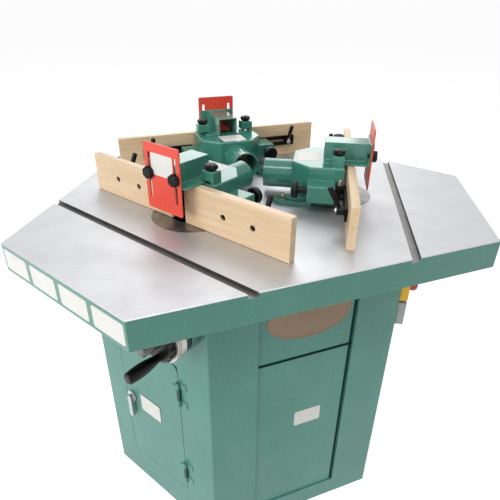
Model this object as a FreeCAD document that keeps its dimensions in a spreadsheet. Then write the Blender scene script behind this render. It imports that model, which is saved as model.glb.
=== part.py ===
"""Three-station spindle moulder: one hexagonal cast table on a sheet-metal cabinet, with a spindle,
a two-part fence, a guard, a lift crank and a stop button at each of its three short sides.

Millimetres. The origin is on the floor, on the axis that the three stations share; +Z is up and the
long side between the left and right stations faces -Y. A station's own frame has +Y outwards from
that axis, +X towards the operator's left (the outfeed side) and its zero height on the table top.
"""
import FreeCAD, Part
import math
import os
import Sketcher
from types import SimpleNamespace

SIZES = {
    # Cast table, a triangle with its corners cut off
    "table_height": 885.0,
    "long_apothem": 480.0,
    "short_apothem": 594.0,
    "apron_height": 68.0,
    "apron_wall": 14.0,
    "table_plate": 26.0,
    "table_edge": 2.0,
    "rib_thickness": 12.0,
    "rib_depth": 48.0,
    "mitre_slot_width": 19.3,
    "mitre_slot_depth": 9.5,
    "mitre_slot_offset": 396.0,
    # Spindle wells and their rings
    "spindle_offset": 223.0,
    "ring_radius": 101.5,
    "ring_thickness": 10.0,
    "ring_opening": 46.0,
    "ring_rebate": 5.0,
    "ring_clearance": 0.3,
    "well_ledge": 8.0,
    # Cabinet
    "cabinet_long_apothem": 385.0,
    "cabinet_short_apothem": 406.0,
    "cabinet_bend": 5.0,
    "sheet": 2.5,
    "floor_plate": 5.0,
    "top_flange": 36.0,
    "anchor_circle": 352.0,
    "anchor_radius": 7.0,
    "panel_half": 127.0,
    "panel_bottom": 62.0,
    "panel_split": 599.0,
    "panel_top": 800.0,
    "panel_recess": 6.0,
    "panel_lip": 12.0,
    "panel_sheet": 2.0,
    "panel_gap": 1.5,
    "panel_split_gap": 3.0,
    # Door in the left station's face
    "door_hinge_margin": 104.0,
    "door_latch_margin": 85.0,
    "door_bottom": 110.0,
    "door_top": 583.0,
    "door_corner": 24.0,
    "door_gap": 1.5,
    "door_lip": 12.0,
    "door_seal_gap": 0.5,
    "hinge_radius": 5.0,
    "hinge_pin_radius": 2.5,
    "hinge_length": 79.0,
    "hinge_inset": 47.0,
    "hinge_leaf": 24.0,
    "hinge_leaf_sheet": 2.0,
    "latch_edge_distance": 27.0,
    "latch_height": 352.0,
    "latch_rose_radius": 17.0,
    "latch_rose_height": 5.0,
    "latch_shaft_radius": 6.0,
    "latch_bar_width": 15.0,
    "latch_bar_thickness": 9.0,
    "latch_bar_length": 74.0,
    "latch_cam_length": 11.0,
    # Fence housing, a hollow casting that catches the chips
    "housing_half": 90.0,
    "housing_rear_half": 46.0,
    "housing_rear": 113.0,
    "housing_flank_rear": 160.0,
    "housing_front": 245.0,
    "housing_height": 100.0,
    "housing_wall": 8.0,
    "housing_edge": 4.0,
    "port_radius": 38.0,
    "port_wall": 3.5,
    "port_end": 38.0,
    "port_height": 50.0,
    "shoulder_outer": 138.0,
    "shoulder_bottom": 27.0,
    "shoulder_top": 68.0,
    "shoulder_rear": 158.0,
    "shoulder_front": 224.0,
    "shoulder_end_wall": 8.0,
    "shoulder_edge": 3.0,
    "foot_centre": 80.0,
    "foot_half": 22.0,
    "foot_end": 94.0,
    "foot_thickness": 12.0,
    "foot_slot_half": 6.0,
    "foot_slot_length": 50.0,
    "bolt_offset": 96.0,
    "bolt_radius": 5.0,
    "bolt_depth": 16.0,
    "bolt_stand": 14.0,
    "washer_radius": 11.0,
    "washer_thickness": 2.5,
    "nut_radius": 9.8,
    "nut_height": 8.0,
    "foot_rim": 4.0,
    "foot_recess": 4.0,
    "relief_height": 74.0,
    "relief_radius": 18.0,
    "corner_round": 7.0,
    "boss_inner": 52.0,
    "boss_outer": 86.0,
    "boss_rear": 214.0,
    "boss_front": 242.0,
    "boss_height": 29.0,
    "boss_wall": 7.0,
    # Fence halves
    "bar_centre": 114.0,
    "bar_half": 10.0,
    "bar_half_height": 13.0,
    "bar_rear": 172.0,
    "fence_axis_height": 49.0,
    "plate_back": 246.0,
    "plate_thickness": 6.0,
    "plate_inner": 99.0,
    "plate_outer": 248.0,
    "plate_half_height": 15.0,
    "plate_slot_half": 4.4,
    "board_gap_half": 22.0,
    "board_length": 294.0,
    "board_height": 99.0,
    "board_thickness": 19.0,
    "board_edge": 1.0,
    "board_inner_hole": 140.0,
    "board_outer_hole": 222.0,
    "board_shift_in": 8.0,
    "board_shift_out": 12.0,
    "board_bolt_radius": 4.0,
    "bolt_head_radius": 6.5,
    "bolt_head_height": 5.0,
    "counterbore_radius": 7.5,
    "counterbore_depth": 9.0,
    "board_nut_radius": 7.5,
    "board_nut_height": 6.5,
    "lever_hub_radius": 10.0,
    "lever_hub_length": 18.0,
    "lever_crown": 5.0,
    "lever_root_radius": 5.0,
    "lever_tip_radius": 6.5,
    "lever_tip_round": 5.0,
    "lever_length": 62.0,
    "lever_tilt": 27.0,
    "screw_radius": 5.0,
    "screw_end": 228.0,
    "screw_bore_end": 238.0,
    "dial_radius": 20.0,
    "dial_front": 135.0,
    "dial_rear": 120.0,
    "dial_hub_radius": 9.0,
    "dial_edge": 2.5,
    # Guard and the hood that carries it
    "hood_sheet": 3.0,
    "hood_half": 28.0,
    "hood_top": 148.0,
    "hood_rear": 192.0,
    "hood_front": 304.0,
    "hood_flange_half": 62.0,
    "wing_half": 52.0,
    "wing_top": 151.0,
    "guard_half": 56.0,
    "guard_bottom": 36.0,
    "guard_top": 190.0,
    "guard_sheet": 3.0,
    "guard_corner": 4.0,
    "guard_slot_centre": 41.0,
    "guard_slot_half": 3.8,
    "guard_slot_bottom": 62.0,
    "guard_slot_top": 169.0,
    "knob_height": 122.0,
    "knob_radius": 13.0,
    "knob_thickness": 11.0,
    "knob_hub_radius": 7.5,
    "knob_hub_length": 2.0,
    "pad_radius": 9.0,
    "pad_thickness": 3.0,
    "scallop_radius": 3.4,
    "scallop_circle": 14.6,
    "stud_radius": 3.0,
    "stud_nut_radius": 6.0,
    "stud_nut_height": 5.0,
    # Spindle and its lift
    "guide_flange_radius": 116.0,
    "guide_flange_thickness": 10.0,
    "guide_sleeve_radius": 57.0,
    "guide_bottom": 230.0,
    "quill_radius": 45.0,
    "quill_top": 38.0,
    "quill_bottom": 292.0,
    "motor_offset": 88.0,
    "motor_plate_top": 262.0,
    "motor_plate_thickness": 18.0,
    "motor_plate_radius": 70.0,
    "motor_radius": 66.0,
    "motor_top": 96.0,
    "motor_edge": 8.0,
    "motor_shaft_radius": 12.0,
    "motor_pulley_radius": 50.0,
    "spindle_pulley_radius": 22.0,
    "pulley_top": 298.0,
    "pulley_height": 30.0,
    "belt_thickness": 5.0,
    "belt_width": 22.0,
    "spindle_radius": 16.0,
    "spindle_flange_radius": 24.0,
    "spindle_flange_bottom": 6.0,
    "spindle_flange_height": 8.0,
    "spacer_radius": 21.0,
    "spacer_height": 26.0,
    "spindle_nut_radius": 18.5,
    "spindle_nut_height": 14.0,
    "spindle_nose": 62.0,
    # Lift crank
    "crank_edge_distance": 73.0,
    "crank_drop": 158.0,
    "crank_boss_radius": 55.0,
    "crank_boss_length": 24.0,
    "crank_neck_radius": 49.0,
    "crank_neck_length": 17.0,
    "crank_collar_radius": 57.0,
    "crank_collar_length": 24.0,
    "crank_groove": 2.0,
    "crank_shaft_radius": 10.0,
    "crank_shaft_end": 330.0,
    "crank_disc_radius": 47.0,
    "crank_disc_thickness": 14.0,
    "crank_nose_radius": 14.0,
    "crank_nose_length": 38.0,
    "crank_throw_across": 9.0,
    "crank_throw_down": 36.0,
    "crank_edge": 3.0,
    "grip_root_radius": 9.0,
    "grip_neck": 8.0,
    "grip_end_radius": 13.0,
    "grip_bulge": 3.0,
    "grip_round": 5.0,
    "grip_length": 82.0,
    # Stop button and switch boxes
    "switch_edge_distance": 5.0,
    "switch_width": 70.0,
    "switch_depth": 20.0,
    "stop_box_top": 120.0,
    "stop_box_bottom": 190.0,
    "starter_top": 195.0,
    "starter_bottom": 262.0,
    "switch_edge": 3.0,
    "stop_drop": 155.0,
    "stop_stem_radius": 8.0,
    "stop_stem_inside": 10.0,
    "stop_stem_outside": 9.0,
    "stop_head_radius": 20.0,
    "stop_head_height": 14.0,
    "stop_head_round": 9.0,
    "stop_box_bore": 18.0,
    # Fits and cutting
    "slide_gap": 0.3,
    "running_gap": 0.08,
    "overrun": 1.0,
}

# Shares of the sizes that they follow
LEVER_BORE_SHARE = 0.75
STUD_REACH_SHARE = 0.65
COLLAR_GROOVE_SHARES = (0.58, 0.8)
THREAD_SHARE = 0.9
SHAFT_HOLE_SHARE = 2.0
FOOT_SLOT_SHARE = 3.0

STATIONS = {"rear": 0.0, "left": 120.0, "right": 240.0}
COS30 = math.cos(math.radians(30))
SIN30 = math.sin(math.radians(30))
TAN30 = SIN30 / COS30
HALF_TURN = 180.0
BEND_MIDDLE = math.radians(75)

doc = FreeCAD.newDocument("three_station_spindle_moulder")
sheet = doc.addObject("Spreadsheet::Sheet", "Sizes")
for row, (size_name, size_value) in enumerate(SIZES.items(), start=1):
    sheet.set(f"A{row}", str(size_value))
    sheet.setAlias(f"A{row}", size_name)
doc.recompute()


class Formula:
    """A size worked out from the sheet: its value now and the expression that keeps it bound."""

    def __init__(self, value, text):
        self.value = value
        self.text = text

    def __add__(self, other):
        other = formula(other)
        return Formula(self.value + other.value, f"({self.text} + {other.text})")

    def __sub__(self, other):
        other = formula(other)
        return Formula(self.value - other.value, f"({self.text} - {other.text})")

    def __mul__(self, factor):
        factor = formula(factor)
        return Formula(self.value * factor.value, f"({self.text} * {factor.text})")

    def __truediv__(self, divisor):
        divisor = formula(divisor)
        return Formula(self.value / divisor.value, f"({self.text} / {divisor.text})")

    def __neg__(self):
        return Formula(-self.value, f"(-{self.text})")

    __radd__ = __add__
    __rmul__ = __mul__


def formula(size):
    """A plain number as a formula; a formula as it is."""
    return size if isinstance(size, Formula) else Formula(float(size), f"({float(size)!r})")


def root_of_squares(first, second):
    """The length whose square is the sum of two squares."""
    return Formula(math.hypot(first.value, second.value),
                   f"sqrt({first.text} * {first.text} + {second.text} * {second.text})")


S = SimpleNamespace(**{name: Formula(value, f"Sizes.{name}") for name, value in SIZES.items()})


def bind(thing, attribute, size):
    """Bind a property of a document object to a formula."""
    thing.setExpression(attribute, formula(size).text)


# Outlines

def rectangle(x_low, y_low, x_high, y_high):
    """Corner points of an upright rectangle."""
    return {"points": [(x_low, y_low), (x_high, y_low), (x_high, y_high), (x_low, y_high)]}


def polygon(points):
    """A closed outline of straight sides."""
    return {"points": points}


def circle(x_centre, y_centre, radius):
    return {"centre": (x_centre, y_centre), "radius": radius}


def hexagon_nut(x_centre, y_centre, radius):
    """Six corners on a circle."""
    turns = [math.radians(60 * corner) for corner in range(6)]
    return polygon([(x_centre + radius * math.cos(a), y_centre + radius * math.sin(a)) for a in turns])


def upright_slot(x_centre, y_low, y_high, half_width):
    """A slot along the second axis; y_low and y_high are its outermost points."""
    low = y_low + half_width
    high = y_high - half_width
    points = [(x_centre - half_width, low), (x_centre + half_width, low),
              (x_centre + half_width, high), (x_centre - half_width, high)]
    arcs = {0: (x_centre, y_low, x_centre, low), 2: (x_centre, y_high, x_centre, high)}
    return {"points": points, "arcs": arcs}


def level_slot(x_low, x_high, y_centre, half_width):
    """A slot along the first axis; x_low and x_high are its outermost points."""
    low = x_low + half_width
    high = x_high - half_width
    points = [(low, y_centre - half_width), (high, y_centre - half_width),
              (high, y_centre + half_width), (low, y_centre + half_width)]
    arcs = {1: (x_high, y_centre, high, y_centre), 3: (x_low, y_centre, low, y_centre)}
    return {"points": points, "arcs": arcs}


def bulged_side(start, finish, sagitta):
    """Middle point and radius of an arc that stands off its chord to the right of the way it runs."""
    across = formula(finish[0]) - start[0]
    along_chord = formula(finish[1]) - start[1]
    chord = root_of_squares(across, along_chord)
    middle_x = (formula(start[0]) + finish[0]) / 2 + along_chord / chord * sagitta
    middle_y = (formula(start[1]) + finish[1]) / 2 - across / chord * sagitta
    return middle_x, middle_y, (chord * chord / 4 + sagitta * sagitta) / (sagitta * 2)


def belt_line(first_centre, first_radius, second_centre, second_radius):
    """A loop round two circles on the second axis: two arcs and their outer tangents."""
    spacing = second_centre - first_centre
    rise = (first_radius - second_radius) / spacing
    run = Formula(math.sqrt(1 - rise.value ** 2), f"sqrt(1 - {rise.text} * {rise.text})")
    points = [(first_radius * run, first_centre + first_radius * rise),
              (second_radius * run, second_centre + second_radius * rise),
              (-(second_radius * run), second_centre + second_radius * rise),
              (-(first_radius * run), first_centre + first_radius * rise)]
    arcs = {1: (0, second_centre + second_radius, 0, second_centre),
            3: (0, first_centre - first_radius, 0, first_centre)}
    return {"points": points, "arcs": arcs}


def three_fold_hexagon(long_apothem, short_apothem):
    """Corners of a hexagon with short sides facing 90, 210 and 330 degrees and long sides between."""
    corner = face_half(short_apothem, long_apothem)
    points = []
    for turn in STATIONS.values():
        cosine = math.cos(math.radians(turn))
        sine = math.sin(math.radians(turn))
        for side in (corner, -corner):
            points.append((side * cosine - short_apothem * sine, side * sine + short_apothem * cosine))
    return polygon(points)


def face_half(own_apothem, next_apothem):
    """Half the width of one face of a hexagon whose corners are all 120 degrees."""
    return (next_apothem - own_apothem * SIN30) / COS30


def short_face_half():
    """Half the width of the cabinet's short faces."""
    return face_half(S.cabinet_short_apothem, S.cabinet_long_apothem)


def door_sides():
    """How far the door way reaches from the face's middle, to the hinges and to the latch."""
    return short_face_half() - S.door_hinge_margin, short_face_half() - S.door_latch_margin


def crank_side():
    """How far the crank's axis lies to the operator's right of the station's middle."""
    return short_face_half() - S.crank_edge_distance


def switch_sides():
    """Inner, middle and outer places of the switch boxes, to the operator's left."""
    outer = short_face_half() - S.switch_edge_distance
    return outer - S.switch_width, outer - S.switch_width / 2, outer


def mirrored(loop):
    """The same loop on the other side of the second axis."""
    if "centre" in loop:
        x_centre, y_centre = loop["centre"]
        return circle(-x_centre, y_centre, loop["radius"])
    flipped = {"points": [(-formula(x), y) for x, y in loop["points"]]}
    if "arcs" in loop:
        flipped["arcs"] = {side: (-formula(x), y, -formula(x_centre), y_centre)
                           for side, (x, y, x_centre, y_centre) in loop["arcs"].items()}
    return flipped


def both_sides(*loops):
    """The loops and their mirror images."""
    return list(loops) + [mirrored(loop) for loop in loops]


# Sketches and features

NORMALS = {"XY_Plane": 1, "XZ_Plane": -1, "YZ_Plane": 1}


def vector(point):
    return FreeCAD.Vector(formula(point[0]).value, formula(point[1]).value, 0)


def fix_point(sketch, side, end, point):
    """Bind both coordinates of a side's end."""
    for kind, size in zip(("DistanceX", "DistanceY"), point):
        size = formula(size)
        index = sketch.addConstraint(Sketcher.Constraint(kind, side, end, size.value))
        sketch.setExpression(f"Constraints[{index}]", size.text)


def draw(sketch, loop):
    """Add a closed loop or a circle; an arc is (middle x, middle y) with its centre or its radius."""
    first = sketch.GeometryCount
    if "centre" in loop:
        centre = vector(loop["centre"])
        radius = formula(loop["radius"])
        sketch.addGeometry(Part.Circle(centre, FreeCAD.Vector(0, 0, 1), radius.value))
        fix_point(sketch, first, 3, loop["centre"])
        index = sketch.addConstraint(Sketcher.Constraint("Radius", first, radius.value))
        sketch.setExpression(f"Constraints[{index}]", radius.text)
        return
    points = loop["points"]
    arcs = loop.get("arcs", {})
    ends = []
    for side, start in enumerate(points):
        finish = points[(side + 1) % len(points)]
        if side in arcs:
            sketch.addGeometry(Part.Arc(vector(start), vector(arcs[side][:2]), vector(finish)))
        else:
            sketch.addGeometry(Part.LineSegment(vector(start), vector(finish)))
        nearest = (sketch.getPoint(first + side, 1) - vector(start)).Length
        farthest = (sketch.getPoint(first + side, 2) - vector(start)).Length
        ends.append((1, 2) if nearest < farthest else (2, 1))
    for side, start in enumerate(points):
        after = (side + 1) % len(points)
        join = Sketcher.Constraint("Coincident", first + side, ends[side][1], first + after, ends[after][0])
        sketch.addConstraint(join)
        fix_point(sketch, first + side, ends[side][0], start)
    for side, arc in arcs.items():
        if len(arc) == 3:
            size = formula(arc[2])
            index = sketch.addConstraint(Sketcher.Constraint("Radius", first + side, size.value))
        else:
            chord = vector(points[(side + 1) % len(points)]) - vector(points[side])
            level = abs(chord.x) > abs(chord.y)
            kind, size = ("DistanceY", formula(arc[3])) if level else ("DistanceX", formula(arc[2]))
            index = sketch.addConstraint(Sketcher.Constraint(kind, first + side, 3, size.value))
        sketch.setExpression(f"Constraints[{index}]", size.text)


def origin_part(body, role):
    return next(feature for feature in body.Origin.OriginFeatures if feature.Role == role)


def sketch_on(body, plane, place, loops, tilt=None):
    """A sketch on one of the body's origin planes; place shifts it in the plane's own directions."""
    sketch = body.newObject("Sketcher::SketchObject", "Outline")
    sketch.AttachmentSupport = [(origin_part(body, plane), "")]
    sketch.MapMode = "FlatFace"
    if tilt is not None:
        turn = FreeCAD.Rotation(FreeCAD.Vector(0, 0, 1), tilt.value)
        sketch.AttachmentOffset = FreeCAD.Placement(FreeCAD.Vector(), turn)
        bind(sketch, "AttachmentOffset.Rotation.Angle", tilt)
    for axis, shift in zip("xyz", place):
        bind(sketch, f"AttachmentOffset.Base.{axis}", shift)
    for loop in loops:
        draw(sketch, loop)
    return sketch


def extrude(kind, body, plane, low, high, loops):
    """Carry loops along the plane's normal between two levels of the third axis."""
    start = formula(low) if NORMALS[plane] > 0 else -formula(high)
    sketch = sketch_on(body, plane, (0, 0, start), loops)
    feature = body.newObject(f"PartDesign::{kind}", kind)
    feature.Profile = sketch
    feature.Reversed = kind == "Pocket"
    bind(feature, "Length", formula(high) - low)
    return feature


def pad(body, plane, low, high, *loops):
    return extrude("Pad", body, plane, low, high, loops)


def pocket(body, plane, low, high, *loops):
    return extrude("Pocket", body, plane, low, high, loops)


def turn_about(body, plane, place, points, arcs=None, tilt=None):
    """Turn a profile of (radius, height) points about the sketch's own upright axis."""
    sketch = sketch_on(body, plane, place, [{"points": points, "arcs": arcs or {}}], tilt)
    feature = body.newObject("PartDesign::Revolution", "Revolution")
    feature.Profile = sketch
    feature.ReferenceAxis = (sketch, ["V_Axis"])
    feature.Angle = 360
    return feature


def revolve_along_y(body, x_axis, z_axis, points, arcs=None):
    """A turned form whose axis runs outwards from the table's middle."""
    return turn_about(body, "XY_Plane", (x_axis, 0, z_axis), points, arcs)


def revolve_along_z(body, x_axis, y_axis, points):
    """A turned form with an upright axis."""
    return turn_about(body, "XZ_Plane", (x_axis, 0, -formula(y_axis)), points)


def around(body, features, axis, count):
    """Repeat features evenly round an axis."""
    pattern = body.newObject("PartDesign::PolarPattern", "PolarPattern")
    pattern.Originals = features
    pattern.Axis = axis
    pattern.Angle = 360
    pattern.Occurrences = count
    body.Tip = pattern
    return pattern


def soften(body, kind, size, wanted):
    """Fillet or chamfer those edges of the body so far that pass a test."""
    doc.recompute()
    tip = body.Tip
    edges = [f"Edge{number}" for number, edge in enumerate(tip.Shape.Edges, start=1) if wanted(edge)]
    feature = body.newObject(f"PartDesign::{kind}", kind)
    feature.Base = (tip, edges)
    bind(feature, "Radius" if kind == "Fillet" else "Size", size)
    return feature


def close(value, size):
    """Whether a measured coordinate is the one that a formula gives."""
    return abs(value - formula(size).value) < S.running_gap.value / 8


def level_edge(edge, axis, size):
    """Whether both ends of an edge lie at one height along an axis, 0 to 2."""
    return all(close(vertex.Point[axis], size) for vertex in edge.Vertexes)


def ring_edge(edge, axis, size, radius):
    """Whether an edge is a circle of a radius, square to an axis, 0 to 2, at a height along it."""
    if not isinstance(edge.Curve, Part.Circle) or not close(edge.Curve.Radius, radius):
        return False
    return close(edge.Curve.Center[axis], size) and abs(abs(edge.Curve.Axis[axis]) - 1) < 1e-6


def along(edge, axis):
    """Whether a straight edge runs along an axis, 0 to 2."""
    if len(edge.Vertexes) < 2 or not isinstance(edge.Curve, Part.Line):
        return False
    return abs(abs(edge.Curve.Direction[axis]) - 1) < 1e-6


def new_body(name, turn=0.0, on_table=True):
    """An empty piece in a station's frame, or in the floor's frame turned like a station."""
    body = doc.addObject("PartDesign::Body", name)
    body.Label = name
    body.Placement = FreeCAD.Placement(FreeCAD.Vector(), FreeCAD.Rotation(FreeCAD.Vector(0, 0, 1), turn))
    if on_table:
        bind(body, "Placement.Base.z", S.table_height)
    return body


pieces = []


def keep(piece):
    """Count a document object among the sub-parts that are written."""
    pieces.append(piece)
    return piece


def keep_group(name, bodies):
    """Several like solids as one sub-part."""
    group = doc.addObject("Part::Compound", name)
    group.Label = name
    group.Links = bodies
    return keep(group)


# Table

def cast_table():
    """Ground plate with a deep apron, ribs under the overhang, three wells and three mitre slots."""
    body = new_body("cast_table")
    pad(body, "XY_Plane", -S.apron_height, 0, three_fold_hexagon(S.long_apothem, S.short_apothem))
    soften(body, "Chamfer", S.table_edge, lambda edge: level_edge(edge, 2, 0))
    inner = three_fold_hexagon(S.long_apothem - S.apron_wall, S.short_apothem - S.apron_wall)
    pocket(body, "XY_Plane", -S.apron_height, -S.table_plate, inner)
    half_rib = S.rib_thickness / 2
    rib = pad(body, "XY_Plane", -S.rib_depth, -S.table_plate / 2,
              rectangle(-half_rib, S.cabinet_short_apothem + S.slide_gap,
                        half_rib, S.short_apothem - S.apron_wall / 2),
              rectangle(-half_rib, -S.long_apothem + S.apron_wall / 2,
                        half_rib, -S.cabinet_long_apothem - S.slide_gap))
    upright = (origin_part(body, "Z_Axis"), [""])
    around(body, [rib], upright, 3)
    seat = pocket(body, "XY_Plane", -S.ring_thickness, 0,
                  circle(0, S.spindle_offset, S.ring_radius + S.ring_clearance))
    well = pocket(body, "XY_Plane", -S.table_plate, -S.ring_thickness / 2,
                  circle(0, S.spindle_offset, S.ring_radius - S.well_ledge))
    half_slot = S.mitre_slot_width / 2
    slot = pocket(body, "XY_Plane", -S.mitre_slot_depth, S.overrun,
                  rectangle(-S.short_apothem, S.mitre_slot_offset - half_slot,
                            S.short_apothem, S.mitre_slot_offset + half_slot))
    holes = pocket(body, "XY_Plane", -S.bolt_depth - S.slide_gap, S.overrun,
                   *both_sides(circle(S.foot_centre, S.bolt_offset, S.bolt_radius + S.slide_gap)))
    around(body, [seat, well, slot, holes], upright, 3)
    return keep(body)


def insert_rings():
    """A flat ring with a stepped opening in each well."""
    rings = []
    for station, turn in STATIONS.items():
        body = new_body(f"{station}_ring", turn)
        step = S.ring_opening + S.ring_rebate
        revolve_along_z(body, 0, S.spindle_offset, [
            (S.ring_opening, -S.ring_thickness), (S.ring_radius, -S.ring_thickness), (S.ring_radius, 0),
            (step, 0), (step, -S.ring_thickness / 2), (S.ring_opening, -S.ring_thickness / 2)])
        rings.append(body)
    return keep_group("insert_rings", rings)


def hold_down_bolts():
    """Studs, washers and hexagon nuts that clamp the housings' slotted feet."""
    bolts = []
    washer_seat = S.foot_thickness - S.foot_recess + S.slide_gap
    nut_seat = washer_seat + S.washer_thickness
    nut_top = nut_seat + S.nut_height
    for station, turn in STATIONS.items():
        for side, sign in (("outfeed", 1), ("infeed", -1)):
            body = new_body(f"{station}_{side}_bolt", turn)
            revolve_along_z(body, S.foot_centre * sign, S.bolt_offset, [
                (0, -S.bolt_depth), (S.bolt_radius, -S.bolt_depth), (S.bolt_radius, washer_seat),
                (S.washer_radius, washer_seat), (S.washer_radius, nut_seat), (S.bolt_radius, nut_seat),
                (S.bolt_radius, nut_seat + S.bolt_stand), (0, nut_seat + S.bolt_stand)])
            pad(body, "XY_Plane", nut_seat, nut_top,
                hexagon_nut(S.foot_centre * sign, S.bolt_offset, S.nut_radius))
            bolts.append(body)
    return keep_group("hold_down_bolts", bolts)


# Cabinet

def hinge_heights():
    """Lowest point of each of the door's two hinges."""
    return (S.door_bottom + S.hinge_inset, S.door_top - S.hinge_inset - S.hinge_length)


def hinge_axis():
    """The hinges' axis in plan, just off the door's edge and proud of the face."""
    return -door_sides()[0] - S.hinge_radius / 2, S.cabinet_short_apothem + S.hinge_radius


def wall_outline(apothem, half):
    """A sheet between two corners in plan: mitred ends, with the outer corners rounded by the bend."""
    bend = S.cabinet_bend
    tangent = half - bend * TAN30
    arc_x = tangent + bend * math.cos(BEND_MIDDLE)
    arc_y = apothem - bend + bend * math.sin(BEND_MIDDLE)
    mitre_x = tangent + bend * SIN30
    mitre_y = apothem - bend + bend * COS30
    inner = half - S.sheet * TAN30
    points = [(-tangent, apothem), (tangent, apothem), (mitre_x, mitre_y), (inner, apothem - S.sheet),
              (-inner, apothem - S.sheet), (-mitre_x, mitre_y)]
    return {"points": points, "arcs": {1: (arc_x, arc_y, bend), 5: (-arc_x, arc_y, bend)}}


def cabinet_top():
    """Height of the seat under the table's plate."""
    return S.table_height - S.table_plate


def panel_wall(name, turn):
    """Long wall with a sunk frame for its access panels."""
    body = new_body(name, turn, on_table=False)
    face = S.cabinet_long_apothem
    half = face_half(S.cabinet_long_apothem, S.cabinet_short_apothem)
    seat = face - S.panel_recess
    pad(body, "XY_Plane", 0, cabinet_top(), wall_outline(face, half))
    pad(body, "XZ_Plane", seat - S.sheet, face - S.sheet / 2,
        rectangle(-S.panel_half - S.sheet, S.panel_bottom - S.sheet,
                  S.panel_half + S.sheet, S.panel_top + S.sheet))
    pocket(body, "XZ_Plane", seat, face + S.overrun,
           rectangle(-S.panel_half, S.panel_bottom, S.panel_half, S.panel_top))
    pocket(body, "XZ_Plane", seat - S.sheet - S.overrun, face,
           rectangle(-S.panel_half + S.panel_lip, S.panel_bottom + S.panel_lip,
                     S.panel_half - S.panel_lip, S.panel_top - S.panel_lip))
    return body


def station_wall(name, turn):
    """Short wall under a station, with the hole for its crank shaft."""
    body = new_body(name, turn, on_table=False)
    face = S.cabinet_short_apothem
    pad(body, "XY_Plane", 0, cabinet_top(), wall_outline(face, short_face_half()))
    pocket(body, "XZ_Plane", face - S.sheet - S.overrun, face + S.overrun,
           circle(-crank_side(), S.table_height - S.crank_drop, S.crank_shaft_radius * SHAFT_HOLE_SHARE))
    return body


def door_way(body):
    """Opening in a station's wall with a lip behind the door's edge and the hinges' fixed halves."""
    face = S.cabinet_short_apothem
    inside = face - S.sheet
    hinge_side, latch_side = door_sides()
    pad(body, "XZ_Plane", inside - S.sheet, inside,
        rectangle(-hinge_side - S.door_lip, S.door_bottom - S.door_lip,
                  latch_side + S.door_lip, S.door_top + S.door_lip))
    pocket(body, "XZ_Plane", inside - S.door_seal_gap, face + S.overrun,
           rectangle(-hinge_side, S.door_bottom, latch_side, S.door_top))
    pocket(body, "XZ_Plane", inside - S.sheet - S.overrun, face,
           rectangle(-hinge_side + S.door_lip, S.door_bottom + S.door_lip,
                     latch_side - S.door_lip, S.door_top - S.door_lip))
    x_axis, y_axis = hinge_axis()
    knuckle = S.hinge_length / 4
    for low in hinge_heights():
        high = low + S.hinge_length
        leaf = rectangle(x_axis - S.hinge_leaf, face - S.sheet / 2, x_axis, face + S.hinge_leaf_sheet)
        for start, finish in ((low, low + knuckle), (high - knuckle, high)):
            pad(body, "XY_Plane", start, finish, leaf)
            pad(body, "XY_Plane", start, finish, circle(x_axis, y_axis, S.hinge_radius))
        pad(body, "XY_Plane", low, high, circle(x_axis, y_axis, S.hinge_pin_radius))


def floor_sheet():
    """Bottom plate between the walls, with an anchor hole under each station."""
    body = new_body("floor_sheet", on_table=False)
    pad(body, "XY_Plane", 0, S.floor_plate,
        three_fold_hexagon(S.cabinet_long_apothem - S.sheet, S.cabinet_short_apothem - S.sheet))
    anchor = pocket(body, "XY_Plane", -S.overrun, S.floor_plate + S.overrun,
                    circle(0, S.anchor_circle, S.anchor_radius))
    around(body, [anchor], (origin_part(body, "Z_Axis"), [""]), 3)
    return body


def top_flange():
    """Flat ring inside the walls' upper edges that the table sits on."""
    body = new_body("top_flange", on_table=False)
    pad(body, "XY_Plane", cabinet_top() - S.sheet, cabinet_top(),
        three_fold_hexagon(S.cabinet_long_apothem - S.sheet, S.cabinet_short_apothem - S.sheet),
        three_fold_hexagon(S.cabinet_long_apothem - S.top_flange, S.cabinet_short_apothem - S.top_flange))
    return body


def access_panels():
    """An upper and a lower sheet in each sunk frame, seated on its lip."""
    back = -S.cabinet_long_apothem + S.panel_recess
    half = S.panel_half - S.panel_gap
    panels = []
    for station, turn in STATIONS.items():
        for place, low, high in (("lower", S.panel_bottom + S.panel_gap, S.panel_split - S.panel_split_gap),
                                 ("upper", S.panel_split + S.panel_split_gap, S.panel_top - S.panel_gap)):
            body = new_body(f"{station}_{place}_panel", turn, on_table=False)
            pad(body, "XZ_Plane", back - S.panel_sheet, back, rectangle(-half, low, half, high))
            panels.append(body)
    return panels


def cabinet():
    """Six welded walls, the floor, the seat of the table and the access panels."""
    sheets = [floor_sheet(), top_flange()]
    for station, turn in STATIONS.items():
        wall = station_wall(f"{station}_wall", turn)
        if station == "left":
            door_way(wall)
        sheets += [wall, panel_wall(f"{station}_panel_wall", turn + HALF_TURN)]
    return keep_group("cabinet", sheets + access_panels())


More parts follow.
